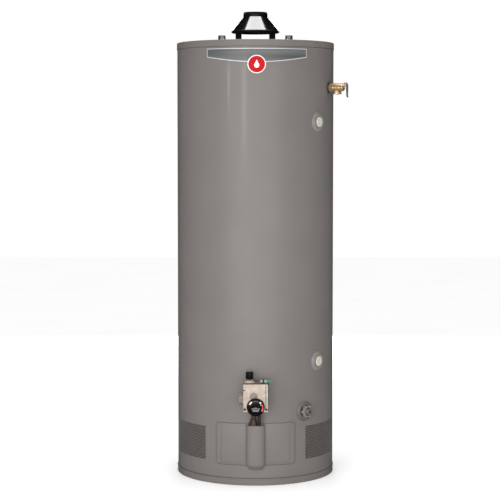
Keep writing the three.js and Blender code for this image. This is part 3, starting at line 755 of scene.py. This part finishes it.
def access_door():
    """A panel with a soft edge and a raised field, slotted for the tubes, on a dark strip of painted shadow
    round its edge.
    """
    lo, hi = box("access_door")
    half = RADIUS * math.asin(hi.x / (RADIUS + SHEET))
    slot = [(-33, 116), (33, 116), (33, hi.z + 1), (-33, hi.z + 1)]
    whole = (half, lo.z, hi.z, 13)
    field = (half - 24, lo.z + 9, hi.z - 9, 8)
    edge_width, field_width = 2.4, 4.5

    def relief(s, z):
        edge = smooth_step(-door_distance(s, z, *whole) / edge_width)
        raised = smooth_step(-door_distance(s, z, *field) / field_width)
        return -0.8 + 2.6 * edge + 1.7 * raised

    def ring(d, wide, low, high, corner):
        return rounded_box(-wide + d, wide - d, low + d, high - d, max(corner - d, 1), 6)

    marks = [ring(k * edge_width / 6, *whole) for k in range(1, 7)]
    marks += [ring(k * field_width / 5, *field) for k in range(6)]
    screws = [circle(2.6, s * DOOR_SCREW, DOOR_SCREW_HEIGHT, 16) for s in (-1, 1)]
    panel = sheet(ring(0, *whole), [slot, *screws], height=relief, step=COLUMN / 2, marks=marks)
    # A dark band just wider than the panel: painted shadow of the gap round the door.
    seal = sheet(ring(-1.3, *whole), [ring(3, *whole)], thickness=0.4, height=0.6, step=COLUMN / 2)
    piece("door_edge_shadow", wrapped(seal), "painted_shade_brown", "access_door", radial=True)
    piece("door_panel", wrapped(panel, DOOR_OUT), body="access_door", cad="access_door",
          sharp=60)


def channel_section(z, wide, out, back):
    """From edge to edge: a flare that blends into the door, then a half ellipse."""
    flare = [(1.0, 0.0), (0.955, 0.004), (0.92, 0.02), (0.893, 0.05), (0.875, 0.095), (0.865, 0.15)]
    arc = [(0.865 * cos(t) ** 0.85, 0.15 + 0.85 * sin(t))
           for t in (pi / 2 * k / 12 for k in range(1, 12))]
    half = flare + arc
    spots = [(-x, y) for x, y in half] + [(0.0, 1.0)] + half[::-1]
    return [(x * wide, back - y * out, z) for x, y in spots]


def channel():
    """Cover over the gas tubes: open at the top, its bottom end folded in and closed."""
    lo, hi = box("channel_cover")
    width, wall = hi.x + 7, 1.3
    back = -sqrt((DOOR_OUT + 1.8) ** 2 - width ** 2)
    deep = back - lo.y
    steps = ((0, 0.58, 0.05), (0.5, 0.62, 0.22), (1.4, 0.655, 0.33), (3, 0.68, 0.40), (8, 0.75, 0.56),
             (14, 0.85, 0.76), (18, 0.92, 0.89), (19.5, 0.95, 0.935), (21, 0.975, 0.965),
             (23, 0.99, 0.988), (26, 1.0, 1.0))

    def shell(inset):
        rows = [channel_section(lo.z + inset + z, width * w - inset, deep * d - inset * (d > 0.3), back)
                for z, w, d in steps]
        return rows + [channel_section(hi.z, width - inset, deep - inset, back)]

    piece("channel_shell", channel_wall(shell(0), shell(wall)), body="access_door",
          cad="channel_cover", sharp=60)


def channel_wall(outer, inner):
    """Skins the outer and inner rows of sections into one closed wall."""
    wide, rows = len(outer[0]), len(outer)
    start, top = rows * wide, (rows - 1) * wide
    faces = []
    for k in range(rows - 1):
        for a in range(k * wide, (k + 1) * wide - 1):
            b = a + wide
            faces += [(a, a + 1, b + 1, b), (start + a, start + b, start + b + 1, start + a + 1)]
    for i in range(wide - 1):
        faces.append((top + i, top + i + 1, start + top + i + 1, start + top + i))
        faces.append((i, start + i, start + i + 1, i + 1))
    for k in range(rows - 1):
        for a in (k * wide, (k + 1) * wide - 1):
            faces.append((a, a + wide, start + a + wide, start + a))
    return [v for row in outer + inner for v in row], faces


def screw(head_name, recess_name, place, radius, tall, look, count=40, body="root", cad=None,
          shadow_ring_name=None):
    """A pan head with a cross recess painted dark as its shade, and a dark disc of painted shadow under it
    if that has a name.
    """
    head = spin([(0, tall, 0), (radius * 0.55, tall * 0.95), (radius, tall * 0.35, 0.5), (radius, 0)],
                count)
    long, short = radius * 0.55, radius * 0.55 * 0.22
    cross = join(*[prism(rounded_box(-w, w, -h, h, 0.1, 1), tall * 0.80, tall * 1.02)
                   for w, h in ((long, short), (short, long))])
    piece(head_name, moved(head, place), look, body, cad)
    # A dark disc wider than the head: painted shadow round the screw.
    if shadow_ring_name:
        washer = spin([(0, 0), (6.2, 0, 0.2), (6.0, 0.8), (0, 0.8)], 40)
        piece(shadow_ring_name, moved(washer, place), "painted_shade_brown", body)
    piece(recess_name, moved(cross, place), "dark_and_painted_shade", body)


def door_screws():
    for side, name in ((-1, "left"), (1, "right")):
        place = station(side * math.degrees(DOOR_SCREW / RADIUS), DOOR_SCREW_HEIGHT, DOOR_OUT + 0.3)
        screw(f"door_screw_head_{name}", f"door_screw_recess_{name}", place, 4.6, 2.4, "screw_grey",
              body="access_door", cad=f"door_screw_{name}", shadow_ring_name=f"door_screw_shadow_ring_{name}")


# ---------------------------------------------------------------- draft hood and top fittings
def draft_hood():
    """Polished cone with a rolled rim below and a rounded collar on top."""
    lo, hi = box("draft_hood")
    rim, collar, wall = hi.x, 51, 1.6
    shoulder = hi.z - 20
    piece("draft_hood_cone", spin([
        (rim - 1.5, lo.z + 8), (collar, shoulder, 3), (collar, shoulder + 2),
        (collar - wall, shoulder + 2), (collar - wall, shoulder, 2),
        (rim - wall - 1.5, lo.z + 7.2)], 128, closed=True), "black_gloss", cad="draft_hood")
    piece("draft_hood_rim", spin([
        (rim - wall - 1, lo.z + 0.4, 0.3), (rim - 1, lo.z, 0.4), (rim + 1, lo.z + 2, 1.5),
        (rim + 0.6, lo.z + 7, 1.5), (rim - 2.2, lo.z + 9.4, 0.8),
        (rim - wall - 2.2, lo.z + 7.4)], 128, closed=True), "black_satin")
    piece("draft_hood_collar", spin([
        (collar - 0.6, shoulder - 1), (collar + 0.9, shoulder + 0.5, 0.6),
        (collar + 0.6, hi.z - 9, 2), (collar - 2, hi.z, 5), (collar - 5, hi.z, 0.8),
        (collar - 5.5, hi.z - 4), (collar - wall - 2, hi.z - 6),
        (collar - wall, shoulder)], 128, closed=True), "black_satin")


LEG_AZIMUTHS = {"front_right": 48.5, "back_right": 131.5, "back_left": 228.5, "front_left": 311.5}


def hood_leg(name, azimuth):
    """A bent strip: a foot screwed to the top pan, and a post up to the hood's rim."""
    post, high, foot = 96, box("draft_hood")[0].z + 5, TOP + 0.5
    thick, half = 2, 18
    path = fillet([(post - 20, foot + thick / 2), (post, foot + thick / 2, 4), (post, high)], steps=5)
    rings = []
    for k, (r, z) in enumerate(path):
        ahead = Vector(path[min(k + 1, len(path) - 1)]) - Vector(path[max(k - 1, 0)])
        side = Vector((-ahead.y, ahead.x)).normalized() * thick / 2
        rings.append([(r + side.x, -half, z + side.y), (r + side.x, half, z + side.y),
                      (r - side.x, half, z - side.y), (r - side.x, -half, z - side.y)])
    turn = Matrix.Rotation(radians(azimuth - 90), 4, "Z")
    piece(f"hood_post_{name}", moved(loft(rings), turn), "black_satin",
          cad=f"hood_leg_{name}", bevel=0.5)
    seat = turn @ Matrix.Translation((post - 12, 0, foot + thick))
    screw(f"hood_foot_screw_{name}", f"hood_foot_recess_{name}", seat, 3.8, 2.0, "zinc_steel", 24)


def threaded(radius, low, high, pitch, deep, taper=0.0):
    """Profile points of a thread's ridges, from low to high."""
    points = []
    turns = int((high - low) / pitch)
    for k in range(turns):
        z = low + k * pitch
        r = radius - taper * k / turns
        points += [(r - deep, z), (r, z + pitch * 0.5), (r - deep, z + pitch * 0.98)]
    return points


def nipples():
    """Threaded pipe nipples, each with two seats for its heat-trap ball and a colour ring."""
    lo, hi = box("hot_nipple")
    outer, bore, seat = (hi.y - lo.y) / 2, 13, 7
    thread_from = hi.z - 22
    profile = [
        (bore, lo.z), (outer, lo.z), (outer, thread_from),
        *threaded(outer - 0.1, thread_from, hi.z - 1.5, 1.8, 0.5, taper=0.5),
        (outer - 1.6, hi.z, 0.3), (bore + 0.6, hi.z, 0.3), (bore, hi.z - 1),
        (bore, 1827), (seat, 1827), (seat, 1824), (bore, 1824),
        (bore, 1803), (seat, 1803), (seat, 1800), (bore, 1800)]
    collar = spin([(18.4, TOP + 0.2), (26, TOP + 0.2), (24.5, TOP + 2.2, 0.8),
                   (18.6, TOP + 3.4, 0.8)], 64, closed=True)
    for name, side, ring in (("cold", -1, "trap_plastic"), ("hot", 1, "dial_red")):
        x = side * middle("hot_nipple").x
        piece(f"{name}_pipe_nipple", shifted(spin(profile, 64, closed=True), x),
              "zinc_steel", cad=f"{name}_nipple")
        piece(f"{name}_colour_ring", shifted(collar, x), ring)


# ---------------------------------------------------------------- gas control
def control_body():
    """Ribbed casting on its shank, with the cock's housing on top and the gas inlet at the left."""
    lo, hi = box("gas_control_body")
    cover = box("gas_control_cover")
    half, low, top = cover[1].x - 3, cover[0].z + 2, cover[1].z - 2
    front, back = -cover[1].y - 0.5, 344
    casting = to_front(prism(rounded_box(-half, half, low, top, 4), back, front))
    ribs = [to_front(prism(rounded_box(x + 6, x + 9, low - 1.5, low + 4, 0.6, 2), back + 6, front - 6))
            for x in (-half + k * 16 for k in range(6))]
    shank = spin([(0, 0), (16.6, 0), (16.6, 52), (0, 52)], 48)
    flange = spin([(0, 0), (31, 0, 1), (31, 6, 2), (0, 6)], 6)
    mount = [to_front(shifted(shape, 0, CONTROL_HEIGHT, z)) for shape, z in ((shank, 298.5), (flange, 339))]
    cock = middle("gas_cock_knob")
    neck = box("gas_cock_knob")[0].z - 5
    dome = shifted(spin([
        (5.4, top - 6), (24.3, top - 6), (24.3, top + 5, 2), (21.5, top + 9, 3), (17, top + 12, 2),
        (15, neck, 1), (5.4, neck)], 64, closed=True), cock.x, cock.y)
    piece("control_casting", join(casting, *ribs, *mount), "cast_aluminium",
          cad="gas_control_body", bevel=0.9)
    piece("control_cock_housing", dome, "cast_aluminium")
    turn = placing(lo.x, -375, 368, 90, "Y")
    boss = ring_prism(hexagon(40), circle(10.5, count=36), 0, 20)
    # A dark disc inside the inlet's bore: painted shade.
    screen = spin([(0, 15), (10.5, 15), (10.5, 15.2), (0, 15.2)], 24)
    piece("gas_inlet_boss", moved(boss, turn), "cast_shade", bevel=0.8)
    piece("gas_inlet_bore_shade", moved(screen, turn), "dark_and_painted_shade")


def control_cover():
    """Front plate with a painted-highlight ridge, a painted-shade groove and notches, a round boss, a
    gasket widened into a painted shadow line, and two screws.
    """
    lo, hi = box("gas_control_cover")
    face = -lo.y
    outline = rounded_box(lo.x, hi.x, lo.z, hi.z, 3)
    step = rounded_box(lo.x + 1.6, hi.x - 1.6, lo.z + 1.6, hi.z - 1.6, 2)
    plate = loft([level(outline, -hi.y), level(outline, face - 1.8), level(step, face - 0.2)])
    notch = prism(rounded_box(-4.8, 4.8, -2, 2, 0.8, 2), 0, 0.35)
    notches = [to_front(shifted(notch, s * 46, 410, face - 0.3)) for s in (-1, 1)]

    def upright(left, right, corner, low, high):
        outline = rounded_box(hi.x - left, hi.x - right, lo.z + 16, hi.z - 4, corner)
        return to_front(prism(outline, face + low, face + high))

    boss = to_front(shifted(spin([
        (0, -1), (16, -1), (16, 1.6, 0.8), (12.5, 2.4, 0.8), (11.5, 1.0, 0.5), (6, 1.0, 0.5),
        (4.5, 2.0, 0.8), (0, 2.2)], 64), -9, 386, face - 0.4))
    piece("control_front_plate", to_front(plate), "cast_aluminium",
          cad="gas_control_cover", bevel=0.5)
    # The ridge is lighter as a painted highlight, and the thin strip beside it is darker as painted shade.
    piece("control_front_ridge", upright(7.5, 2.5, 2, -1, 1.8), "cast_painted_highlight", bevel=0.5)
    piece("control_front_groove_shade", upright(10.5, 8.2, 0.8, -0.4, 0.1), "painted_shade_brown")
    piece("control_front_boss", boss, "cast_shade")
    piece("control_front_notches", join(*notches), "dark_and_painted_shade")
    # The gasket stands out 4 mm above and 2.4 mm right of the plate: a painted shadow line along those
    # edges.
    gasket = rounded_box(lo.x + 0.8, hi.x + 2.4, lo.z + 0.8, hi.z + 4, 3)
    piece("control_gasket_and_shadow", to_front(prism(gasket, -hi.y - 0.6, -hi.y + 1.6)), "dark_and_painted_shade")
    for k, x in enumerate((lo.x + 6.5, hi.x - 8)):
        place = placing(x, lo.y + 0.3, lo.z + 11, 90, "X")
        screw(f"control_screw_{k}", f"control_screw_recess_{k}", place, 5.4, 2.2, "copper", 28)


def temperature_dial():
    """Knurled black dial with a raised hub, cream dots and red marks at its hot end."""
    lo, hi = box("temperature_dial")
    radius, centre = (hi.x - lo.x) / 2, middle("temperature_dial")
    back = -box("gas_control_cover")[0].y + 0.6
    front = -lo.y
    rings = fluted([
        (0, back, 0), (radius - 2, back, 0), (radius, back + 1.4, 1), (radius, back + 7, 1),
        (radius - 1.4, back + 9, 0), (radius - 6, back + 11, 0), (19, back + 11.4, 0),
        (17, back + 12.2, 0), (15.6, front - 1, 0), (14.6, front, 0), (0, front, 0)],
        240, lambda a: 0.7 * (0.5 + 0.5 * cos(40 * a)))

    def part(name, shape, look, **more):
        shape = to_front(shifted(shape, centre.x, centre.z))
        piece(name, shape, look, "temperature_dial", **more)

    part("dial_knob", loft(rings, capped=False), "black_plastic",
         cad="temperature_dial", sharp=40)
    plate = fillet([(-18, -1, 2), (-9, -2, 2), (0, 2, 2), (9, -2, 2), (18, -1, 2), (11, -16, 2),
                    (-11, -16, 2)], closed=True)
    part("dial_hub_plate", prism(plate, front - 1.2, front + 0.5), "dial_hub", bevel=0.4)
    grip = prism(rounded_box(-14, 14, -8.2, -5.8, 1, 2), front, front + 1.2)
    part("dial_grip", grip, "black_plastic", bevel=0.2)
    face = back + 10.9

    def band(first, last, inner, outer):
        """A raised band on the dial's face, between two angles clockwise from the top."""
        turns = [radians(d) for d in np.linspace(first, last, 13)]
        rim = [(outer * sin(a), outer * cos(a)) for a in turns]
        rim += [(inner * sin(a), inner * cos(a)) for a in reversed(turns)]
        return prism(rim, face - 0.6, face + 0.7)

    marks = {"dial_cream": [(-66, -34, 24, 31), (36, 54, 24, 30), (60, 68, 22, 26)],
             "dial_maroon": [(-22, -8, 22, 28), (-4, 8, 22, 28), (12, 24, 22, 28)],
             "dial_red": [(66, 88, 27, 31.5), (91, 122, 26, 32)]}
    for look, bands in marks.items():
        part(f"{look}_bands", join(*[band(*row) for row in bands]), look, bevel=0.15)


def gas_knob():
    """Fluted black knob with a pointer on top, on a plated stem."""
    lo, hi = box("gas_cock_knob")
    radius, centre = (hi.x - lo.x) / 2, middle("gas_cock_knob")
    count, hole = 180, 4.8
    rings = fluted([
        (hole, lo.z, 0), (13, lo.z, 0), (radius - 1, lo.z + 2, 0), (radius, lo.z + 4, 1),
        (radius - 0.8, hi.z - 3, 1), (radius - 2.5, hi.z - 0.8, 0), (radius - 5, hi.z, 0),
        (0, hi.z, 0)], count, lambda a: 1.1 * max(0, cos(15 * a)))
    bore = spin([(hole, lo.z), (hole, lo.z + 10), (0, lo.z + 10)], count)
    knob = shifted(join(loft(rings, capped=False), bore), centre.x, centre.y)
    piece("cock_knob", knob, "black_plastic", "gas_cock_knob", cad="gas_cock_knob", sharp=40)
    pointer = prism(rounded_box(-1, 1, 4, 12, 0.8, 2), hi.z - 0.2, hi.z + 0.25)
    piece("cock_pointer", shifted(pointer, centre.x, centre.y), "dial_cream", "gas_cock_knob")
    low, high = (corner.z for corner in box("gas_cock_stem"))
    stem = spin([(0, low), (4.2, low), (4.2, low + 19), (3.6, low + 19.5), (4.2, low + 20),
                 (4.2, high, 0.5), (0, high)], 40)
    piece("cock_stem", shifted(stem, centre.x, centre.y), "zinc_steel", "gas_cock_stem",
          cad="gas_cock_stem")


def igniter():
    """Push igniter lying along X: foot, strap, barrel and a teal button at its right end."""
    lo, hi = box("igniter_barrel")
    y, z = (lo.y + hi.y) / 2, hi.z - 8
    turn = placing(0, y, z, 90, "Y")
    left, right = lo.x, hi.x
    barrel = spin([
        (0, left), (7, left, 0.8), (7, left + 5), (8, left + 5.5, 0.3), (8, right - 6, 0.3),
        (7.2, right - 5), (7.2, right - 2.5), (8, right - 2, 0.3), (8, right, 0.6), (5.4, right),
        (5.4, right - 19), (0, right - 19)], 56)
    foot = prism(rounded_box(22, 42, y - 6, y + 6, 1.5), lo.z, z - 5)
    strap = moved(ring_prism(circle(9.0), circle(8.05), 0, 7), placing(28, y, z, 90, "Y"))
    piece("igniter_body", join(moved(barrel, turn), foot), "igniter_grey",
          cad="igniter_barrel")
    piece("igniter_strap", strap, "dark_and_painted_shade", bevel=0.2)
    left, right = (corner.x for corner in box("igniter_button"))
    cap = spin([
        (0, left), (4.8, left, 0.4), (4.8, right - 7.4), (8.5, right - 7.4, 0.8),
        (8.5, right - 1.5, 1.2), (7, right, 1), (5, right - 0.6, 0.5), (0, right - 0.9)], 56)
    piece("igniter_push_button", moved(cap, turn), "teal_plastic", "igniter_button",
          cad="igniter_button")


# ---------------------------------------------------------------- tubes
def pipe(points, radius, count=20, bend=12):
    """A round tube along straight runs with round corners."""
    points = [Vector(p) for p in points]
    path = points[:1]
    for before, here, after in zip(points, points[1:], points[2:]):
        start = here + (before - here).normalized() * bend
        end = here + (after - here).normalized() * bend
        path += [start * (1 - t) ** 2 + here * 2 * t * (1 - t) + end * t * t
                 for t in np.linspace(0, 1, 9)]
    path.append(points[-1])
    rings, up = [], Vector((1, 0, 0))
    for k, spot in enumerate(path):
        ahead = (path[min(k + 1, len(path) - 1)] - path[max(k - 1, 0)]).normalized()
        side = ahead.cross(up).normalized()
        up = side.cross(ahead).normalized()
        rings.append([tuple(spot + radius * (up * cos(a) + side * sin(a))) for a in angles(count)])
    return loft(rings)


TUBE_DEPTH = 349
TURN_HEIGHT = 152


def gas_tubes():
    """Supply tube, pilot tube and thermocouple sleeve: down inside the channel, then inwards."""
    def run(node, x, radius, ends, count=20):
        top = box(node)[1].z
        turns = [(-TUBE_DEPTH, top), (-TUBE_DEPTH, TURN_HEIGHT), *ends]
        return pipe([(x, y, z) for y, z in turns], radius, count)

    x, low = -9, TURN_HEIGHT - 28
    supply = run("burner_supply_tube", x, 9.5, [(-240, TURN_HEIGHT), (-212, low), (-197, low)], 32)
    mouth = box("channel_cover")[1].z
    nut = prism(hexagon(29), mouth - 4, mouth + 16)
    collar = spin([(9.4, mouth + 15), (14, mouth + 15, 1), (12, mouth + 27, 2), (9.4, mouth + 28)], 40,
                  closed=True)
    piece("supply_tube", supply, "copper", cad="burner_supply_tube")
    piece("supply_nut", shifted(join(nut, collar), x, -TUBE_DEPTH), "copper", bevel=0.8)
    x, top, inner = 26.5, box("pilot_tube")[1].z, [(-150, TURN_HEIGHT)]
    nut = shifted(prism(hexagon(11.2), top - 12, top), x, -TUBE_DEPTH)
    piece("pilot_gas_tube", run("pilot_tube", x, 3.6, inner), "plain_aluminium",
          cad="pilot_tube")
    piece("pilot_tube_nut", nut, "brass", bevel=0.5)
    piece("thermocouple_sleeve", run("thermocouple_lead", 14.5, 5, inner), "black_sleeve",
          cad="thermocouple_lead")


# ---------------------------------------------------------------- relief valve
RELIEF_END, RELIEF_OUTLET = 402, 371
PIVOT_UP, PIVOT_OUT = 16.5, 409


def relief_valve():
    """Brass valve with its outlet turned down, and a lever on a pin between two lugs."""
    place = station(*RELIEF)

    def part(name, shape, look="brass", **more):
        piece(name, moved(shape, place), look, **more)

    body = spin([
        (7.5, 296), (13.3, 296), *threaded(13.2, 298, 318, 1.8, 0.9), (13.2, 318), (13.2, 341, 1),
        (17.5, 352, 1), (17.8, 354, 0.5), (17.8, 388, 1.5), (16.2, 390, 0.8), (16.2, 393, 0.8),
        (15, 394.5, 0.6), (15, RELIEF_END - 3, 2), (12, RELIEF_END), (3.2, RELIEF_END), (3.2, 384),
        (12, 384), (12, 352), (7.5, 352)], 72, closed=True)
    outlet = moved(spin([
        (11, 13), (16.8, 13), (16.8, 18, 0.8), (18.8, 19.5, 0.6), (18.8, 28, 1), (17.5, 29),
        (12, 29, 0.5), (11, 28)], 64, closed=True), placing(0, 0, RELIEF_OUTLET, 90, "X"))
    lugs = [prism(rounded_box(x - 1.5, x + 1.5, 4, 20, 3), RELIEF_END - 4, RELIEF_END + 11.5)
            for x in (-8, 8)]
    part("relief_body", join(body, outlet), cad="relief_valve_body")
    part("relief_hex", ring_prism(hexagon(34.5, 60), circle(12.8, count=60), 341, 352), bevel=0.6)
    part("relief_lugs", join(*lugs), bevel=0.8)
    pin = moved(spin([
        (0, -10.5), (2.6, -10.5, 0.6), (2.6, -9.8), (1.6, -9.7), (1.6, 9.9), (0, 10.5)], 24),
        placing(0, PIVOT_UP, PIVOT_OUT, 90, "Y"))
    part("relief_pin", pin, "zinc_steel", cad="relief_lever_pin")
    lever = fillet([
        (-4.5, PIVOT_UP - 4.5, 1), (-4.2, PIVOT_UP + 4, 3), (3, PIVOT_UP + 4.6, 3),
        (10, PIVOT_UP - 5, 5), (9, -34, 3), (11, -41, 0.8), (7.5, -42, 0.8), (5, -35, 3),
        (2.5, PIVOT_UP - 14, 3), (1, PIVOT_UP - 5, 1)], closed=True)
    blade = loft([[(x, up, PIVOT_OUT + out) for out, up in lever] for x in (-6.2, 6.2)])
    part("relief_handle", blade, "lever_steel", body="relief_lever", cad="relief_lever",
         bevel=0.4)
    # A dark brown ring round the valve's neck: painted shadow of the hole in the jacket.
    ring = spin([(14.5, 332), (25, 334.2, 0.5), (24.5, 335.4, 0.6), (15.5, 336.2, 0.6)], 72, closed=True)
    part("relief_hole_shade", ring, "painted_shade_brown")


def relief_coil():
    """The spring behind the stem's disk, drawn at the length that it has with the valve open."""
    low, high, radius, wire, turns = 363.4, 382.4, 7.6, 0.9, 5
    steps = turns * 24
    rings = []
    for k in range(steps + 1):
        a = TAU * turns * k / steps
        z = low + (high - low) * k / steps
        section = circle(wire, radius, z, 10)
        rings.append([(r * cos(a), r * sin(a), height) for r, height in section])
    piece("relief_coil_spring", moved(loft(rings), station(*RELIEF)), "stainless_steel",
          cad="relief_spring")


# ---------------------------------------------------------------- drain valve and side taps
FACE = RADIUS + 0.4


def escutcheon(radius, bore, height):
    """A dished ring whose edge follows the jacket all round."""
    steps = fillet([(radius, 0.2), (radius - 0.6, 1.6, 0.6), (radius - 9, height, 3),
                    (bore + 5, height, 2), (bore + 1, height - 3, 1), (bore, 0.2)], steps=5)
    rings = []
    for r, h in steps:
        share = max(0.0, 1 - max(h - 1, 0) / height) if r > bore + 3 else 1.0
        rings.append([(x, y, FACE + h + (sqrt(FACE ** 2 - x * x) - FACE) * share)
                      for x, y in circle(r, count=96)])
    under = [[(x, y, sqrt(FACE ** 2 - x * x) + 0.05) for x, y, _ in rings[i]] for i in (-1, 0)]
    return loft([*rings, *under, rings[0]], capped=False)


def drain_valve():
    """Plastic valve with a hose thread, seen end on, inside its six-lobed handle."""
    place = station(*DRAIN)
    piece("drain_trim", moved(escutcheon(41.5, 20, 8), place), "grey_plastic",
          cad="drain_escutcheon", sharp=50)
    end = 374.5
    body = spin([
        (6, 296), (13.3, 296), (13.3, 344), (15, 345, 0.5), (16.8, 350, 0.5), (16.8, 354, 0.8),
        (13.1, 358, 1), *threaded(13.3, 360, end - 1.5, 2.2, 1.1), (12.0, end, 0.3),
        (6.8, end, 0.5), (6, end - 1.5)], 64, closed=True)
    piece("drain_body", moved(body, place), "grey_plastic", cad="drain_valve_body")
    shadow = spin([(0, 352), (5.9, 352), (5.9, 352.4), (0, 352.4)], 32)
    piece("drain_bore_shadow", moved(shadow, place), "dark_and_painted_shade")
    outer, inner, lobe, sharpness = 24.5, 17.6, 2.5, 2.2
    rings = fluted([
        (outer - 1.2, FACE + 11, 1), (outer, FACE + 12.4, 1), (outer, FACE + 23, 1),
        (outer - 1.4, FACE + 25, 1), (inner, FACE + 25, 0), (inner, FACE + 11, 0)],
        192, lambda a: -lobe * math.tanh(sharpness * cos(6 * a)) / math.tanh(sharpness))
    piece("drain_lobed_handle", moved(loft([*rings, rings[0]], capped=False), place), "tap_grey",
          "drain_handle", cad="drain_handle", sharp=40)


def side_taps():
    for name, height in TAPS.items():
        place = station(TAP_AZIMUTH, height)
        piece(f"{name}_tap_trim", moved(escutcheon(41.5, 14, 6), place), "tap_grey",
              cad=f"{name}_tap_escutcheon", sharp=50)
        plug = spin([
            (0, 302), (13, 302), (13, FACE + 6.2), (20.4, FACE + 6.2, 0.4), (21, FACE + 6.8, 0.4),
            (20.6, FACE + 7.8, 0.8), (17.5, FACE + 9.6, 1.5), (9, FACE + 9.8, 0.5),
            (8, FACE + 8.8, 0.5), (0, FACE + 8.6)], 72)
        piece(f"{name}_tap_cap", moved(plug, place), "cream_plastic", cad=f"{name}_tap_plug")


# ---------------------------------------------------------------- badge
def badge_outline(inset):
    """The strip's outline: straight top, bowed bottom, pulled in by the inset."""
    left, right = along(-36.6) + inset, along(38.8) - inset
    top, end, bow = 1800 - inset, 1764 + inset, 21
    steps = 40
    bottom = [(left + (right - left) * k / steps, end - bow * sin(pi * k / steps))
              for k in range(steps + 1)]
    return [(right, end), *bottom[-2:0:-1], (left, end), (left, top), (right, top)]


def badge():
    """Grey strip in a light border, and a red roundel with a plain water drop."""
    def disc(r, height, thickness):
        face = circle(r, centre.x, centre.z, 96)
        return wrapped(sheet(face, thickness=thickness, height=height, step=COLUMN / 2))

    border = sheet(badge_outline(0), thickness=0.9, height=1.4, step=COLUMN)
    piece("badge_border", wrapped(border), "badge_silver", cad="badge_strip", radial=True)
    field = sheet(badge_outline(3.2), thickness=0.4, height=1.9, step=COLUMN)
    piece("badge_field", wrapped(field), "badge_grey", radial=True)
    lo, hi = box("badge_roundel")
    centre, radius = middle("badge_roundel"), (hi.z - lo.z) / 2
    piece("roundel_rim", disc(radius, 3.7, 1.7), "badge_white", cad="badge_roundel",
          radial=True)
    piece("roundel_field", disc(radius - 4, 4.2, 0.5), "roundel_red", radial=True)
    drop = []
    for a in angles(48):
        pointed = max(0, sin(a))
        drop.append((centre.x + 11 * cos(a) * (1 - 0.35 * pointed),
                     centre.z - 3 + 12 * sin(a) * (1 + 0.75 * pointed ** 6)))
    mark = wrapped(sheet(drop, thickness=0.4, height=4.6, step=COLUMN / 2))
    piece("roundel_drop", mark, "badge_white", radial=True)


# ---------------------------------------------------------------- camera, floor and lights
def camera():
    """Level eye a little below the top, tipped down to centre the heater."""
    data = bpy.data.cameras.new("camera")
    data.lens = 113.774
    data.shift_y = -0.03
    data.sensor_width = 36
    data.clip_end = 100
    made = bpy.data.objects.new("camera", data)
    bpy.context.scene.collection.objects.link(made)
    made.location = (-0.0231, -6.7886, 1.4423)
    tipped_down = 3.5813
    made.rotation_euler = (radians(90 - tipped_down), 0, 0)
    bpy.context.scene.camera = made


def floor():
    size = 12
    corners = [(-size, -size, 0), (size, -size, 0), (size, size, 0), (-size, size, 0)]
    mesh = bpy.data.meshes.new("floor")
    mesh.from_pydata(corners, [], [(0, 1, 2, 3)])
    mesh.materials.append(LOOKS["floor_paper"])
    made = bpy.data.objects.new("floor", mesh)
    bpy.context.scene.collection.objects.link(made)
    made.visible_glossy = False


def area_light(name, spot, aim, size, power):
    data = bpy.data.lights.new(name, "AREA")
    data.shape = "RECTANGLE"
    data.size, data.size_y = size
    data.energy = power
    made = bpy.data.objects.new(name, data)
    made.location = spot
    made.rotation_euler = (Vector(aim) - Vector(spot)).to_track_quat("-Z", "Y").to_euler()
    bpy.context.scene.collection.objects.link(made)
    return made


def lights():
    world = bpy.data.worlds.new("studio")
    world.use_nodes = True
    sky = world.node_tree.nodes["Background"].inputs
    sky["Color"].default_value = (1, 1, 1, 1)
    sky["Strength"].default_value = 1.0
    world.cycles_visibility.glossy = False
    bpy.context.scene.world = world
    area_light("key", (-0.15, -4.6, 1.5), (0, 0, 1.5), (6.6, 2.9), 142)
    low = area_light("key_low", (-0.3, -2.4, 0.25), (0, 0, 0.15), (2.6, 0.5), 21)
    low.visible_glossy = False
    area_light("back", (0, 4.6, 1.5), (0, 0, 1.5), (1.4, 2.9), 110)
    hood = area_light("hood_glow", (0, 0.1, 3.9), (0, 0.1, 0), (2.1, 1.5), 120)
    hood.visible_diffuse = False
    area_light("strip_near", (-1.32, -4.65, 1.75), (-0.05, -0.33, 1.6), (0.5, 0.75), 24)
    area_light("strip_far", (-2.64, -3.41, 1.81), (-0.11, -0.31, 1.67), (0.2, 0.26), 8)


bpy.context.scene.view_settings.view_transform = "Standard"
camera()
floor()
lights()
jacket(air_screens())
back_seam()
top_pan()
base()
access_door()
channel()
door_screws()
draft_hood()
for leg, azimuth in LEG_AZIMUTHS.items():
    hood_leg(leg, azimuth)
nipples()
control_body()
control_cover()
temperature_dial()
gas_knob()
igniter()
gas_tubes()
relief_valve()
relief_coil()
drain_valve()
side_taps()
badge()
